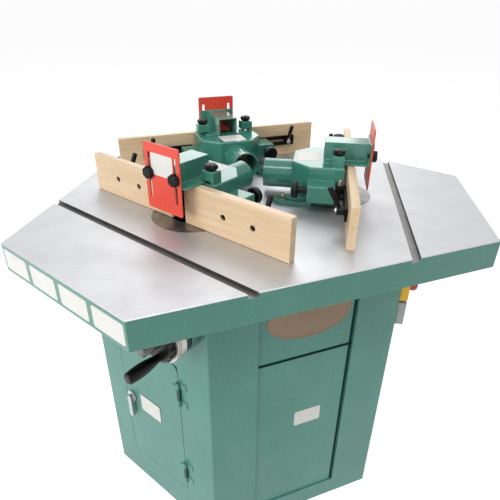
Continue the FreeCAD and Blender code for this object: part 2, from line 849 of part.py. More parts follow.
def cabinet_door():
    """Flush sheet door with rounded upper corners and the hinges' middle knuckles."""
    body = new_body("cabinet_door", STATIONS["left"], on_table=False)
    face = S.cabinet_short_apothem
    hinge_side, latch_side = door_sides()
    left = latch_side - S.door_gap
    right = -hinge_side + S.door_gap
    pad(body, "XZ_Plane", face - S.sheet, face,
        rectangle(right, S.door_bottom + S.door_gap, left, S.door_top - S.door_gap))
    soften(body, "Fillet", S.door_corner,
           lambda edge: along(edge, 1) and close(edge.BoundBox.ZMax, S.door_top - S.door_gap))
    latch_x = latch_side - S.latch_edge_distance
    pocket(body, "XZ_Plane", face - S.sheet - S.overrun, face + S.overrun,
           circle(latch_x, S.latch_height, S.latch_shaft_radius + S.running_gap))
    x_axis, y_axis = hinge_axis()
    quarter = S.hinge_length / 4
    for low in hinge_heights():
        start = low + quarter + S.slide_gap
        finish = low + S.hinge_length - quarter - S.slide_gap
        pad(body, "XY_Plane", start, finish,
            rectangle(x_axis, face - S.sheet / 2, x_axis + S.hinge_leaf, face + S.hinge_leaf_sheet))
        pad(body, "XY_Plane", start, finish, circle(x_axis, y_axis, S.hinge_radius))
        pocket(body, "XY_Plane", start - S.overrun, finish + S.overrun,
               circle(x_axis, y_axis, S.hinge_pin_radius + S.running_gap))
    pocket(body, "XY_Plane", S.door_bottom, S.door_top,
           rectangle(x_axis - S.hinge_radius * 2, face - S.sheet - S.overrun, right, face + S.running_gap))
    return keep(body)


def door_latch():
    """Bright lever on a round rose, with a short cam behind the door."""
    body = new_body("door_latch", STATIONS["left"], on_table=False)
    face = S.cabinet_short_apothem
    centre = door_sides()[1] - S.latch_edge_distance
    rose_top = face + S.slide_gap + S.latch_rose_height
    cam_back = face - S.sheet - S.slide_gap - S.latch_bar_thickness / 2
    hub = S.latch_bar_width / 2
    bar_top = rose_top + S.latch_bar_thickness
    revolve_along_y(body, centre, S.latch_height, [
        (0, cam_back), (S.latch_shaft_radius, cam_back), (S.latch_shaft_radius, face + S.slide_gap),
        (S.latch_rose_radius, face + S.slide_gap), (S.latch_rose_radius, rose_top - S.slide_gap),
        (hub, rose_top), (hub, bar_top), (0, bar_top)])
    pad(body, "XZ_Plane", rose_top, bar_top,
        upright_slot(centre, S.latch_height - S.latch_bar_length, S.latch_height + hub, hub))
    pad(body, "XZ_Plane", cam_back, face - S.sheet - S.slide_gap,
        rectangle(centre - hub, S.latch_height - hub, centre + S.latch_cam_length, S.latch_height + hub))
    return keep(body)


def control_boxes():
    """A stop box over a starter box on each short face."""
    face = S.cabinet_short_apothem
    front = face + S.switch_depth
    inner, middle, outer = switch_sides()
    boxes = []
    for station, turn in STATIONS.items():
        for name, top, bottom in (("stop_box", S.stop_box_top, S.stop_box_bottom),
                                  ("starter_box", S.starter_top, S.starter_bottom)):
            body = new_body(f"{station}_{name}", turn)
            pad(body, "XZ_Plane", face, front, rectangle(inner, -bottom, outer, -top))
            soften(body, "Fillet", S.switch_edge, lambda edge: along(edge, 1))
            if name == "stop_box":
                pocket(body, "XZ_Plane", front - S.stop_box_bore, front + S.overrun,
                       circle(middle, -S.stop_drop, S.stop_stem_radius + S.running_gap))
            boxes.append(body)
    return keep_group("control_boxes", boxes)


def stop_button(station, turn):
    """Red mushroom on a short stem."""
    body = new_body(f"{station}_stop_button", turn)
    front = S.cabinet_short_apothem + S.switch_depth
    shoulder = front + S.stop_stem_outside
    crown = shoulder + S.stop_head_height
    inside = front - S.stop_stem_inside
    middle = switch_sides()[1]
    revolve_along_y(body, middle, -S.stop_drop, [
        (0, inside), (S.stop_stem_radius, inside), (S.stop_stem_radius, shoulder),
        (S.stop_head_radius, shoulder), (S.stop_head_radius, crown), (0, crown)])
    soften(body, "Fillet", S.stop_head_round, lambda edge: ring_edge(edge, 1, crown, S.stop_head_radius))
    return keep(body)


# Fence

def foot_outline():
    """Round-ended foot whose root is buried in the housing."""
    half = S.foot_half
    root = S.housing_flank_rear + half / 2
    points = [(S.foot_centre - half, S.foot_end), (S.foot_centre + half, S.foot_end),
              (S.foot_centre + half, root), (S.foot_centre - half, root)]
    return {"points": points, "arcs": {0: (S.foot_centre, S.foot_end - half, S.foot_centre, S.foot_end)}}


def fence_housing(station, turn):
    """Hollow casting: hood with clipped rear corners, dust port, bar guides, slotted feet and bosses."""
    body = new_body(f"{station}_fence_housing", turn)
    low = S.slide_gap
    top = S.housing_height
    front = S.housing_front
    pad(body, "XY_Plane", low, top, polygon([
        (S.housing_half, front), (S.housing_half, S.housing_flank_rear),
        (S.housing_rear_half, S.housing_rear), (-S.housing_rear_half, S.housing_rear),
        (-S.housing_half, S.housing_flank_rear), (-S.housing_half, front)]))
    soften(body, "Fillet", S.corner_round,
           lambda edge: along(edge, 2) and not level_edge(edge, 1, front))
    soften(body, "Fillet", S.housing_edge,
           lambda edge: level_edge(edge, 2, top) and not level_edge(edge, 1, front))
    pad(body, "XZ_Plane", S.shoulder_rear, S.shoulder_front,
        *both_sides(rectangle(S.housing_half - S.housing_wall, S.shoulder_bottom,
                              S.shoulder_outer, S.shoulder_top)))
    soften(body, "Fillet", S.shoulder_edge,
           lambda edge: along(edge, 1) and close(edge.BoundBox.ZMax, S.shoulder_top)
           and close(abs(edge.BoundBox.Center.x), S.shoulder_outer))
    pad(body, "XY_Plane", low, S.foot_thickness, *both_sides(foot_outline()))
    pad(body, "XY_Plane", top - S.housing_wall, top + S.boss_height,
        *both_sides(rectangle(S.boss_inner, S.boss_rear, S.boss_outer, S.boss_front)))
    soften(body, "Chamfer", S.housing_edge / 2, lambda edge: level_edge(edge, 2, top + S.boss_height))
    pad(body, "XZ_Plane", S.port_end, S.housing_rear + S.housing_wall,
        circle(0, S.port_height, S.port_radius))
    inner_half = S.housing_half - S.housing_wall
    inner_rear_half = S.housing_rear_half - S.housing_wall / 2
    inner_rear = S.housing_rear + S.housing_wall
    inner_flank = S.housing_flank_rear + S.housing_wall / 2
    pocket(body, "XY_Plane", 0, top - S.housing_wall, polygon([
        (inner_half, front + S.overrun), (inner_half, inner_flank),
        (inner_rear_half, inner_rear), (-inner_rear_half, inner_rear),
        (-inner_half, inner_flank), (-inner_half, front + S.overrun)]))
    relief_rear = front - S.relief_radius
    relief_low = S.relief_height - S.relief_radius
    relief = {"points": [(relief_rear, 0), (front + S.overrun, 0), (front + S.overrun, S.relief_height),
                         (front, S.relief_height), (relief_rear, relief_low)],
              "arcs": {3: (front - S.relief_radius * COS30, S.relief_height - S.relief_radius * SIN30,
                           front, relief_low)}}
    pocket(body, "YZ_Plane", -S.housing_half - S.overrun, S.housing_half + S.overrun, relief)
    pocket(body, "XZ_Plane", S.port_end - S.overrun, inner_rear + S.overrun,
           circle(0, S.port_height, S.port_radius - S.port_wall))
    guide_half = S.bar_half + S.slide_gap
    guide_half_height = S.bar_half_height + S.slide_gap
    pocket(body, "XZ_Plane", S.shoulder_rear + S.shoulder_end_wall, S.shoulder_front + S.overrun,
           *both_sides(rectangle(S.bar_centre - guide_half, S.fence_axis_height - guide_half_height,
                                 S.bar_centre + guide_half, S.fence_axis_height + guide_half_height)))
    pocket(body, "XZ_Plane", S.shoulder_rear - S.overrun, S.shoulder_front,
           *both_sides(circle(S.bar_centre, S.fence_axis_height, S.screw_radius + S.running_gap)))
    slot_start = S.bolt_offset - S.foot_slot_half * FOOT_SLOT_SHARE
    slot_end = slot_start + S.foot_slot_length
    recess_half = S.foot_half - S.foot_rim
    pocket(body, "XY_Plane", S.foot_thickness - S.foot_recess, S.foot_thickness + S.overrun,
           *both_sides(upright_slot(S.foot_centre, S.foot_end - recess_half, slot_end + S.foot_rim,
                                    recess_half)))
    pocket(body, "XY_Plane", 0, S.foot_thickness + S.overrun,
           *both_sides(upright_slot(S.foot_centre, slot_start, slot_end, S.foot_slot_half)))
    boss_middle = (S.boss_inner + S.boss_outer) / 2
    flange_top = top + S.slide_gap + S.hood_sheet
    pocket(body, "XY_Plane", top, flange_top + S.pad_thickness + S.slide_gap * 2,
           *both_sides(rectangle(S.boss_inner - S.overrun, S.boss_rear - S.overrun,
                                 S.boss_outer - S.boss_wall, S.boss_front + S.overrun)))
    pocket(body, "XY_Plane", top, top + S.boss_height + S.overrun,
           *both_sides(circle(boss_middle, (S.boss_rear + S.boss_front) / 2, S.stud_radius + S.slide_gap)))
    return keep(body)


def fence_slide(station, turn, side, sign):
    """Square bar in the housing's guide with a slotted plate across its front."""
    body = new_body(f"{station}_{side}_slide", turn)
    plate_front = S.plate_back + S.plate_thickness
    middle = S.fence_axis_height

    def on_side(loop):
        return loop if sign > 0 else mirrored(loop)

    pad(body, "XZ_Plane", S.bar_rear, S.plate_back + S.plate_thickness / 2,
        on_side(rectangle(S.bar_centre - S.bar_half, middle - S.bar_half_height,
                          S.bar_centre + S.bar_half, middle + S.bar_half_height)))
    pad(body, "XZ_Plane", S.plate_back, plate_front,
        on_side(rectangle(S.plate_inner, middle - S.plate_half_height,
                          S.plate_outer, middle + S.plate_half_height)))
    pocket(body, "XZ_Plane", S.plate_back - S.overrun, plate_front + S.overrun,
           on_side(level_slot(S.board_inner_hole - S.board_shift_in - S.plate_slot_half - S.slide_gap,
                              S.board_outer_hole + S.board_shift_out + S.plate_slot_half + S.slide_gap,
                              middle, S.plate_slot_half)))
    pocket(body, "XZ_Plane", S.bar_rear - S.overrun, S.screw_bore_end,
           on_side(circle(S.bar_centre, middle, S.screw_radius + S.running_gap)))
    return keep(body)


def fence_board(station, turn, side, sign):
    """Wooden face with two counterbored holes, and the bolts that hold it to its slide."""
    body = new_body(f"{station}_{side}_wood", turn)
    back = S.plate_back + S.plate_thickness + S.slide_gap
    face = back + S.board_thickness
    middle = S.fence_axis_height
    low = S.slide_gap * 2

    def on_side(loop):
        return loop if sign > 0 else mirrored(loop)

    pad(body, "XZ_Plane", back, face,
        on_side(rectangle(S.board_gap_half, low, S.board_gap_half + S.board_length, low + S.board_height)))
    soften(body, "Chamfer", S.board_edge, lambda edge: level_edge(edge, 1, face))
    holes = (S.board_inner_hole, S.board_outer_hole)
    pocket(body, "XZ_Plane", back - S.overrun, face + S.overrun,
           *[on_side(circle(hole, middle, S.board_bolt_radius)) for hole in holes])
    pocket(body, "XZ_Plane", face - S.counterbore_depth, face + S.overrun,
           *[on_side(circle(hole, middle, S.counterbore_radius)) for hole in holes])
    seat = face - S.counterbore_depth
    nut_face = S.plate_back - S.slide_gap
    nut_back = nut_face - S.board_nut_height
    stud_end = nut_face - S.lever_hub_length * STUD_REACH_SHARE
    head_top = seat + S.bolt_head_height
    bolts = []
    for name, hole, end in (("inner", holes[0], nut_back - S.board_bolt_radius / 2),
                            ("outer", holes[1], stud_end)):
        bolt = new_body(f"{station}_{side}_{name}_bolt", turn)
        revolve_along_y(bolt, hole * sign, middle, [
            (0, end), (S.board_bolt_radius, end), (S.board_bolt_radius, seat),
            (S.bolt_head_radius, seat), (S.bolt_head_radius, head_top), (0, head_top)])
        if name == "inner":
            pad(bolt, "XZ_Plane", nut_back, nut_face,
                hexagon_nut(hole * sign, middle, S.board_nut_radius))
        bolts.append(bolt)
    return keep_group(f"{station}_{side}_board", [body] + bolts)


def clamp_lever(station, turn, side, sign):
    """Tapered handle leaning back from a hub on the board's outer bolt."""
    body = new_body(f"{station}_{side}_lever", turn)
    axis = S.board_outer_hole * sign
    middle = S.fence_axis_height
    front = S.plate_back - S.slide_gap
    back = front - S.lever_hub_length
    bore = S.board_bolt_radius + S.running_gap
    stop = front - S.lever_hub_length * LEVER_BORE_SHARE
    revolve_along_y(body, axis, middle, [
        (0, back), (S.lever_hub_radius, back), (S.lever_hub_radius, front), (bore, front), (bore, stop),
        (0, stop)])
    soften(body, "Fillet", S.lever_crown, lambda edge: ring_edge(edge, 1, back, S.lever_hub_radius))
    tip = S.lever_length
    arm_start = S.lever_hub_radius - S.lever_crown
    round_start = tip - S.lever_tip_round
    flat = S.lever_tip_radius - S.lever_tip_round
    arm = turn_about(body, "YZ_Plane", (back + S.lever_hub_length / 2, middle, axis), [
        (0, arm_start), (S.lever_root_radius, arm_start), (S.lever_tip_radius, round_start), (flat, tip),
        (0, tip)], arcs={2: (flat + S.lever_tip_round * COS30, round_start + S.lever_tip_round * SIN30,
                             flat, round_start)}, tilt=S.lever_tilt)
    body.Tip = arm
    return keep(body)


def adjuster(station, turn, side, sign):
    """Round dial on the screw that draws its slide in and out."""
    body = new_body(f"{station}_{side}_adjuster", turn)
    hub_front = S.shoulder_rear - S.slide_gap
    rim = S.dial_radius - S.dial_edge
    revolve_along_y(body, S.bar_centre * sign, S.fence_axis_height, [
        (0, S.dial_rear), (rim, S.dial_rear), (S.dial_radius, S.dial_rear + S.dial_edge),
        (S.dial_radius, S.dial_front - S.dial_edge), (rim, S.dial_front), (S.dial_hub_radius, S.dial_front),
        (S.dial_hub_radius, hub_front), (S.screw_radius, hub_front), (S.screw_radius, S.screw_end),
        (0, S.screw_end)])
    return keep(body)


# Guard

def guard_hood(station, turn):
    """Bent sheet of top-hat section that slides over the housing, with a wide plate at its outer end."""
    body = new_body(f"{station}_guard_hood", turn)
    base = S.housing_height + S.slide_gap
    flange_top = base + S.hood_sheet
    inner = S.hood_half - S.hood_sheet
    roof = S.hood_top - S.hood_sheet
    pad(body, "XZ_Plane", S.hood_rear, S.hood_front, polygon([
        (S.hood_flange_half, base), (S.hood_flange_half, flange_top), (S.hood_half, flange_top),
        (S.hood_half, S.hood_top), (-S.hood_half, S.hood_top), (-S.hood_half, flange_top),
        (-S.hood_flange_half, flange_top), (-S.hood_flange_half, base), (-inner, base), (-inner, roof),
        (inner, roof), (inner, base)]))
    pad(body, "XZ_Plane", S.hood_front, S.hood_front + S.hood_sheet, polygon([
        (S.wing_half, base), (S.wing_half, S.wing_top), (-S.wing_half, S.wing_top), (-S.wing_half, base),
        (-inner, base), (-inner, roof), (inner, roof), (inner, base)]))
    pocket(body, "XZ_Plane", S.hood_front - S.overrun, S.hood_front + S.hood_sheet + S.overrun,
           *both_sides(circle(S.guard_slot_centre, S.knob_height, S.stud_radius + S.slide_gap)))
    return keep(body)


def guard_plate(station, turn):
    """Red plate with two upright slots for its knobs."""
    body = new_body(f"{station}_guard_plate", turn)
    back = S.hood_front + S.hood_sheet + S.slide_gap
    front = back + S.guard_sheet
    pad(body, "XZ_Plane", back, front,
        rectangle(-S.guard_half, S.guard_bottom, S.guard_half, S.guard_top))
    soften(body, "Fillet", S.guard_corner, lambda edge: along(edge, 1))
    pocket(body, "XZ_Plane", back - S.overrun, front + S.overrun,
           *both_sides(upright_slot(S.guard_slot_centre, S.guard_slot_bottom, S.guard_slot_top,
                                    S.guard_slot_half)))
    return keep(body)


def star_knob(body, plane, place, low, loop_centre):
    """Scalloped head of a knob, from a level upwards along its plane's normal."""
    high = low + S.knob_thickness
    pad(body, plane, low, high, circle(*loop_centre, S.knob_radius))
    sketch_place = (loop_centre[0], loop_centre[1], place)
    sketch = sketch_on(body, plane, sketch_place, [circle(S.scallop_circle, 0, S.scallop_radius)])
    scallop = body.newObject("PartDesign::Pocket", "Scallop")
    scallop.Profile = sketch
    scallop.Reversed = True
    bind(scallop, "Length", S.knob_thickness + S.overrun * 2)
    around(body, [scallop], (sketch, ["N_Axis"]), 6)


def guard_knobs(station, turn):
    """Two knobs whose studs pass through the guard's slots into nuts behind the hood's end plate."""
    plate_back = S.hood_front
    head = S.hood_front + S.hood_sheet + S.guard_sheet + S.slide_gap * 2
    knobs = []
    for side, sign in (("outfeed", 1), ("infeed", -1)):
        body = new_body(f"{station}_{side}_guard_knob", turn)
        axis = S.guard_slot_centre * sign
        nut_back = plate_back - S.stud_nut_height
        revolve_along_y(body, axis, S.knob_height, [
            (0, nut_back), (S.stud_nut_radius, nut_back), (S.stud_nut_radius, plate_back),
            (S.stud_radius, plate_back), (S.stud_radius, head + S.knob_thickness / 2),
            (0, head + S.knob_thickness / 2)])
        star_knob(body, "XZ_Plane", -(head + S.knob_thickness + S.overrun), head, (axis, S.knob_height))
        knobs.append(body)
    return keep_group(f"{station}_guard_knobs", knobs)


def hood_knobs(station, turn):
    """Two knobs whose screws press swivel pads on the hood's flanges inside the bosses."""
    boss_top = S.housing_height + S.boss_height
    tip = S.housing_height + S.slide_gap * 2 + S.hood_sheet
    hub_low = boss_top + S.slide_gap
    head = hub_low + S.knob_hub_length
    middle = (S.boss_rear + S.boss_front) / 2
    knobs = []
    for side, sign in (("outfeed", 1), ("infeed", -1)):
        body = new_body(f"{station}_{side}_hood_knob", turn)
        axis = (S.boss_inner + S.boss_outer) / 2 * sign
        revolve_along_z(body, axis, middle, [
            (0, tip), (S.pad_radius, tip), (S.pad_radius, tip + S.pad_thickness),
            (S.stud_radius, tip + S.pad_thickness), (S.stud_radius, hub_low), (S.knob_hub_radius, hub_low),
            (S.knob_hub_radius, head + S.knob_thickness / 2), (0, head + S.knob_thickness / 2)])
        star_knob(body, "XY_Plane", head - S.overrun, head, (axis, middle))
        knobs.append(body)
    return keep_group(f"{station}_hood_knobs", knobs)


# Spindle and lift

def lift_guides():
    """Flanged sleeves under the table that the quills slide in."""
    guides = []
    top = -S.table_plate
    for station, turn in STATIONS.items():
        body = new_body(f"{station}_guide", turn)
        bore = S.quill_radius + S.running_gap
        flange_low = top - S.guide_flange_thickness
        revolve_along_z(body, 0, S.spindle_offset, [
            (bore, -S.guide_bottom), (S.guide_sleeve_radius, -S.guide_bottom),
            (S.guide_sleeve_radius, flange_low), (S.guide_flange_radius, flange_low),
            (S.guide_flange_radius, top), (bore, top)])
        guides.append(body)
    return keep_group("lift_guides", guides)


def spindle_lift(station, turn):
    """Quill with its motor plate, the motor that hangs beside it and the belt between the pulleys."""
    quill = new_body(f"{station}_quill", turn)
    bore = S.spindle_radius + S.running_gap
    revolve_along_z(quill, 0, S.spindle_offset, [
        (bore, -S.quill_bottom), (S.quill_radius, -S.quill_bottom), (S.quill_radius, -S.quill_top),
        (bore, -S.quill_top)])
    plate_low = -S.motor_plate_top - S.motor_plate_thickness
    pad(quill, "XY_Plane", plate_low, -S.motor_plate_top,
        belt_line(S.motor_offset, S.motor_plate_radius, S.spindle_offset, S.guide_sleeve_radius))
    pocket(quill, "XY_Plane", plate_low - S.overrun, S.overrun - S.motor_plate_top,
           circle(0, S.spindle_offset, bore),
           circle(0, S.motor_offset, S.motor_shaft_radius + S.slide_gap))
    motor = new_body(f"{station}_motor", turn)
    pulley_low = -S.pulley_top - S.pulley_height
    revolve_along_z(motor, 0, S.motor_offset, [
        (0, pulley_low), (S.motor_pulley_radius, pulley_low), (S.motor_pulley_radius, -S.pulley_top),
        (S.motor_shaft_radius, -S.pulley_top), (S.motor_shaft_radius, -S.motor_plate_top),
        (S.motor_radius, -S.motor_plate_top), (S.motor_radius, -S.motor_top - S.motor_edge),
        (S.motor_radius - S.motor_edge, -S.motor_top), (0, -S.motor_top)])
    belt = new_body(f"{station}_belt", turn)
    belt_low = pulley_low + (S.pulley_height - S.belt_width) / 2
    inner_first = S.motor_pulley_radius + S.slide_gap
    inner_second = S.spindle_pulley_radius + S.slide_gap
    pad(belt, "XY_Plane", belt_low, belt_low + S.belt_width,
        belt_line(S.motor_offset, inner_first + S.belt_thickness,
                  S.spindle_offset, inner_second + S.belt_thickness),
        belt_line(S.motor_offset, inner_first, S.spindle_offset, inner_second))
    return keep_group(f"{station}_spindle_lift", [quill, motor, belt])


def spindle(station, turn):
    """Turned shaft with its pulley, seating flange, spacer collars and nut."""
    body = new_body(f"{station}_spindle", turn)
    pulley_low = -S.pulley_top - S.pulley_height
    flange_top = S.spindle_flange_bottom + S.spindle_flange_height
    spacer_top = flange_top + S.spacer_height
    nut_top = spacer_top + S.spindle_nut_height
    thread = S.spindle_radius * THREAD_SHARE
    revolve_along_z(body, 0, S.spindle_offset, [
        (0, pulley_low), (S.spindle_pulley_radius, pulley_low), (S.spindle_pulley_radius, -S.pulley_top),
        (S.spindle_radius, -S.pulley_top), (S.spindle_radius, S.spindle_flange_bottom),
        (S.spindle_flange_radius, S.spindle_flange_bottom), (S.spindle_flange_radius, flange_top),
        (S.spacer_radius, flange_top), (S.spacer_radius, spacer_top), (thread, spacer_top),
        (thread, S.spindle_nose), (0, S.spindle_nose)])
    pad(body, "XY_Plane", spacer_top, nut_top, hexagon_nut(0, S.spindle_offset, S.spindle_nut_radius))
    return keep(body)


def crank_bearing_levels():
    """Outer ends of the bearing's boss, neck and collar."""
    boss = S.cabinet_short_apothem + S.crank_boss_length
    neck = boss + S.crank_neck_length
    return boss, neck, neck + S.crank_collar_length


def crank_bearings():
    """Bosses with a neck and a grooved bright collar, one on each short face."""
    bearings = []
    face = S.cabinet_short_apothem
    boss, neck, end = crank_bearing_levels()
    groove = S.crank_groove
    first, second = [neck + S.crank_collar_length * share for share in COLLAR_GROOVE_SHARES]
    outer = S.crank_collar_radius
    floor = outer - groove
    for station, turn in STATIONS.items():
        body = new_body(f"{station}_bearing", turn)
        bore = S.crank_shaft_radius + S.running_gap
        revolve_along_y(body, -crank_side(), -S.crank_drop, [
            (bore, face), (S.crank_boss_radius, face), (S.crank_boss_radius, boss),
            (S.crank_neck_radius, boss), (S.crank_neck_radius, neck), (outer, neck),
            (outer, first), (floor, first), (floor, first + groove), (outer, first + groove),
            (outer, second), (floor, second), (floor, second + groove), (outer, second + groove),
            (outer, end), (bore, end)])
        bearings.append(body)
    return keep_group("crank_bearings", bearings)


def lift_crank(station, turn):
    """Shaft, round disc with a nose, and a swelling grip near the disc's rim."""
    body = new_body(f"{station}_crank", turn)
    start = crank_bearing_levels()[-1] + S.slide_gap
    end = start + S.crank_disc_thickness
    nose_end = end + S.crank_nose_length
    hub_x = -crank_side()
    hub_z = -S.crank_drop
    revolve_along_y(body, hub_x, hub_z, [
        (0, S.crank_shaft_end), (S.crank_shaft_radius, S.crank_shaft_end), (S.crank_shaft_radius, start),
        (S.crank_disc_radius, start), (S.crank_disc_radius, end), (S.crank_nose_radius, end),
        (S.crank_nose_radius, nose_end), (0, nose_end)])
    soften(body, "Fillet", S.crank_edge, lambda edge: ring_edge(edge, 1, end, S.crank_disc_radius))
    soften(body, "Fillet", S.crank_edge, lambda edge: ring_edge(edge, 1, nose_end, S.crank_nose_radius))
    grip_x = hub_x - S.crank_throw_across
    grip_z = hub_z - S.crank_throw_down
    root = end - S.crank_disc_thickness / 2
    neck = (S.grip_root_radius, end + S.grip_neck)
    tip = end + S.grip_length
    shoulder = (S.grip_end_radius, tip - S.grip_round)
    flat = S.grip_end_radius - S.grip_round
    revolve_along_y(body, grip_x, grip_z, [
        (0, root), (S.grip_root_radius, root), neck, shoulder, (flat, tip), (0, tip)], arcs={
            2: bulged_side(neck, shoulder, S.grip_bulge),
            3: (flat + S.grip_round * COS30, tip - S.grip_round * SIN30, flat, tip - S.grip_round)})
    return keep(body)


def check_features():
    """Stop if a feature failed, a shape is broken or a cut removed nothing."""
    for item in doc.Objects:
        if {"Invalid", "Error"} & set(item.State):
            raise RuntimeError(f"{item.Label} failed: {item.State}")
        if item.TypeId == "PartDesign::Pocket" and item.Shape.Volume >= item.BaseFeature.Shape.Volume:
            raise RuntimeError(f"{item.Label} cuts nothing")
    for piece in pieces:
        if piece.Shape.isNull() or not piece.Shape.isValid():
            raise RuntimeError(f"{piece.Label} has no sound shape")


cast_table()
insert_rings()
hold_down_bolts()
cabinet()
cabinet_door()
door_latch()
control_boxes()
lift_guides()
crank_bearings()
for station_name, station_turn in STATIONS.items():
    fence_housing(station_name, station_turn)
    for side_name, side_sign in (("outfeed", 1), ("infeed", -1)):
        fence_slide(station_name, station_turn, side_name, side_sign)
        fence_board(station_name, station_turn, side_name, side_sign)
        clamp_lever(station_name, station_turn, side_name, side_sign)
        adjuster(station_name, station_turn, side_name, side_sign)
    guard_hood(station_name, station_turn)
    guard_plate(station_name, station_turn)
    guard_knobs(station_name, station_turn)
    hood_knobs(station_name, station_turn)
    spindle_lift(station_name, station_turn)
    spindle(station_name, station_turn)
    lift_crank(station_name, station_turn)
    stop_button(station_name, station_turn)

doc.recompute()
check_features()
os.makedirs("parts", exist_ok=True)
for piece in pieces:
    piece.Shape.exportStep(f"parts/{piece.Label}.step")
print(f"{len(pieces)} sub-parts written")
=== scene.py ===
"""Looks of a three-station spindle moulder: enamelled castings, ground iron table, maple fences."""
import math

import bpy
import numpy as np
from mathutils import Matrix, Vector


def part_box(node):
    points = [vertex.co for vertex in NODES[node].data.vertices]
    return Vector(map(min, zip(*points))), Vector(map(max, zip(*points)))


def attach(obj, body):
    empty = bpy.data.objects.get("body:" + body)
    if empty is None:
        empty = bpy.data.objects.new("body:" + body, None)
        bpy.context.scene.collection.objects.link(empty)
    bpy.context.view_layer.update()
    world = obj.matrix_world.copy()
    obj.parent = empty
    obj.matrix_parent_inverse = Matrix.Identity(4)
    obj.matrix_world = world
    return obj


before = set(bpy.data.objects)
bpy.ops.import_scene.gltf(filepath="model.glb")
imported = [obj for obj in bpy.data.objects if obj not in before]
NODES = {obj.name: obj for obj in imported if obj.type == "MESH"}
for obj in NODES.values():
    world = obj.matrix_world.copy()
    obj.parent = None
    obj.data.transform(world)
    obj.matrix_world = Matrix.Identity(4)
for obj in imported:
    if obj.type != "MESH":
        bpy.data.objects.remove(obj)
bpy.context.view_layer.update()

MM = 0.001

# Each station's axes: x to the operator's left, y outward from the table's middle, z up from its top.
STATION_TURN = {"rear": 0, "left": 120, "right": 240}
SIDES = ("outfeed", "infeed")

# Right and up in those axes, for a piece that faces outward, inward or upward.
FACING_OUT = ((-1, 0, 0), (0, 0, 1))
FACING_IN = ((1, 0, 0), (0, 0, 1))
FACING_UP = ((1, 0, 0), (0, 1, 0))

# Height of the table in metres, and then places in a station's axes in millimetres.
TABLE_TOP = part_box("cast_table")[1].z
APRON_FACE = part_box("cast_table")[1].y / MM
GUARD_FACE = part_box("rear_guard_plate")[1].y / MM
KNOB_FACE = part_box("rear_guard_knobs")[1].y / MM
BOARD_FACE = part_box("rear_outfeed_board")[1].y / MM
DIAL_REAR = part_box("rear_outfeed_adjuster")[0].y / MM
BOX_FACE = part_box("control_boxes")[1].y / MM
PANEL_FACE = -381.0
HOUSING_DECK = 100.0
SPINDLE_OUT = 223.0
FENCE_AXIS = 49.0
BOARD_HOLES = (140.0, 222.0)
STUD_FACE = 227.7
CRANK_ACROSS, CRANK_HEIGHT = -137.16, -158.0
DISC_START, DISC_END = 471.2, 485.2
# A face that lies within this of a surface counts as on it.
SKIN = 0.2


def station_axes(station):
    """Rows are the station's x, y and z axes in the frame: a turn about the vertical."""
    turn = math.radians(STATION_TURN[station])
    across = (math.cos(turn), math.sin(turn), 0.0)
    outward = (-math.sin(turn), math.cos(turn), 0.0)
    return np.array([across, outward, (0.0, 0.0, 1.0)])


def from_station(station, points):
    """Millimetres in a station's axes to metres in the frame: each axis times its coordinate, added up."""
    return points @ station_axes(station) * MM + (0.0, 0.0, TABLE_TOP)


def to_station(station, points):
    """Metres in the frame to millimetres in a station's axes: the dot product with each axis."""
    return (points - (0.0, 0.0, TABLE_TOP)) @ station_axes(station).T / MM


def closed_rings(rings):
    """Quads between neighbouring rings, wrapped round, and one flat face over each end."""
    levels, around, _ = rings.shape
    number = np.arange(levels * around).reshape(levels, around)
    after = np.roll(number, -1, axis=1)
    quads = np.stack([number[:-1], after[:-1], after[1:], number[1:]], axis=-1).reshape(-1, 4)
    return rings.reshape(-1, 3), (quads, number[:1, ::-1], number[-1:])


def superellipse(half_width, half_height, power, steps, around=64):
    """Rings of |x/a|^p + |y/b|^p = 1, one per step (inset, rise): inset shrinks a and b, rise lifts."""
    angle = np.linspace(0, 2 * np.pi, around, endpoint=False)
    outline_x = np.sign(np.cos(angle)) * np.abs(np.cos(angle)) ** (2 / power)
    outline_y = np.sign(np.sin(angle)) * np.abs(np.sin(angle)) ** (2 / power)
    inset, rise = np.array(steps, float).T[:, :, None]
    level = np.broadcast_to(rise, (len(steps), around))
    rings = [(half_width - inset) * outline_x, (half_height - inset) * outline_y, level]
    return closed_rings(np.stack(rings, axis=-1))


def lobed(steps, lobes, around_lobe=8):
    """Rings of radius r + swell * cos(lobes * angle), one per step (r, swell, rise)."""
    angle = np.linspace(0, 2 * np.pi, lobes * around_lobe, endpoint=False)
    radius, swell, rise = np.array(steps, float).T[:, :, None]
    reach = radius + swell * np.cos(lobes * angle)
    level = np.broadcast_to(rise, reach.shape)
    return closed_rings(np.stack([reach * np.cos(angle), reach * np.sin(angle), level], axis=-1))


def set_on(shape, station, origin, facing):
    """Turn a shape so that its own x, y and z run right, up and outward, and move it to the origin."""
    points, faces = shape
    right, up = np.array(facing, float)
    turned = points @ np.array([right, up, np.cross(right, up)])
    return from_station(station, turned + np.array(origin, float)), faces


def add_piece(name, shapes, finish, body, crease=40):
    """Join shapes into one mesh, smooth but for edges sharper than crease degrees, riding on a body."""
    starts = np.cumsum([0] + [len(points) for points, _ in shapes])
    points = np.concatenate([points for points, _ in shapes])
    faces = [face for start, (_, parts) in zip(starts, shapes)
             for part in parts for face in (part + start).tolist()]
    mesh = bpy.data.meshes.new(name)
    mesh.from_pydata(points, [], faces)
    mesh.shade_smooth()
    mesh.set_sharp_from_angle(angle=math.radians(crease))
    mesh.materials.append(finish)
    made = bpy.data.objects.new(name, mesh)
    bpy.context.scene.collection.objects.link(made)
    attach(made, body)


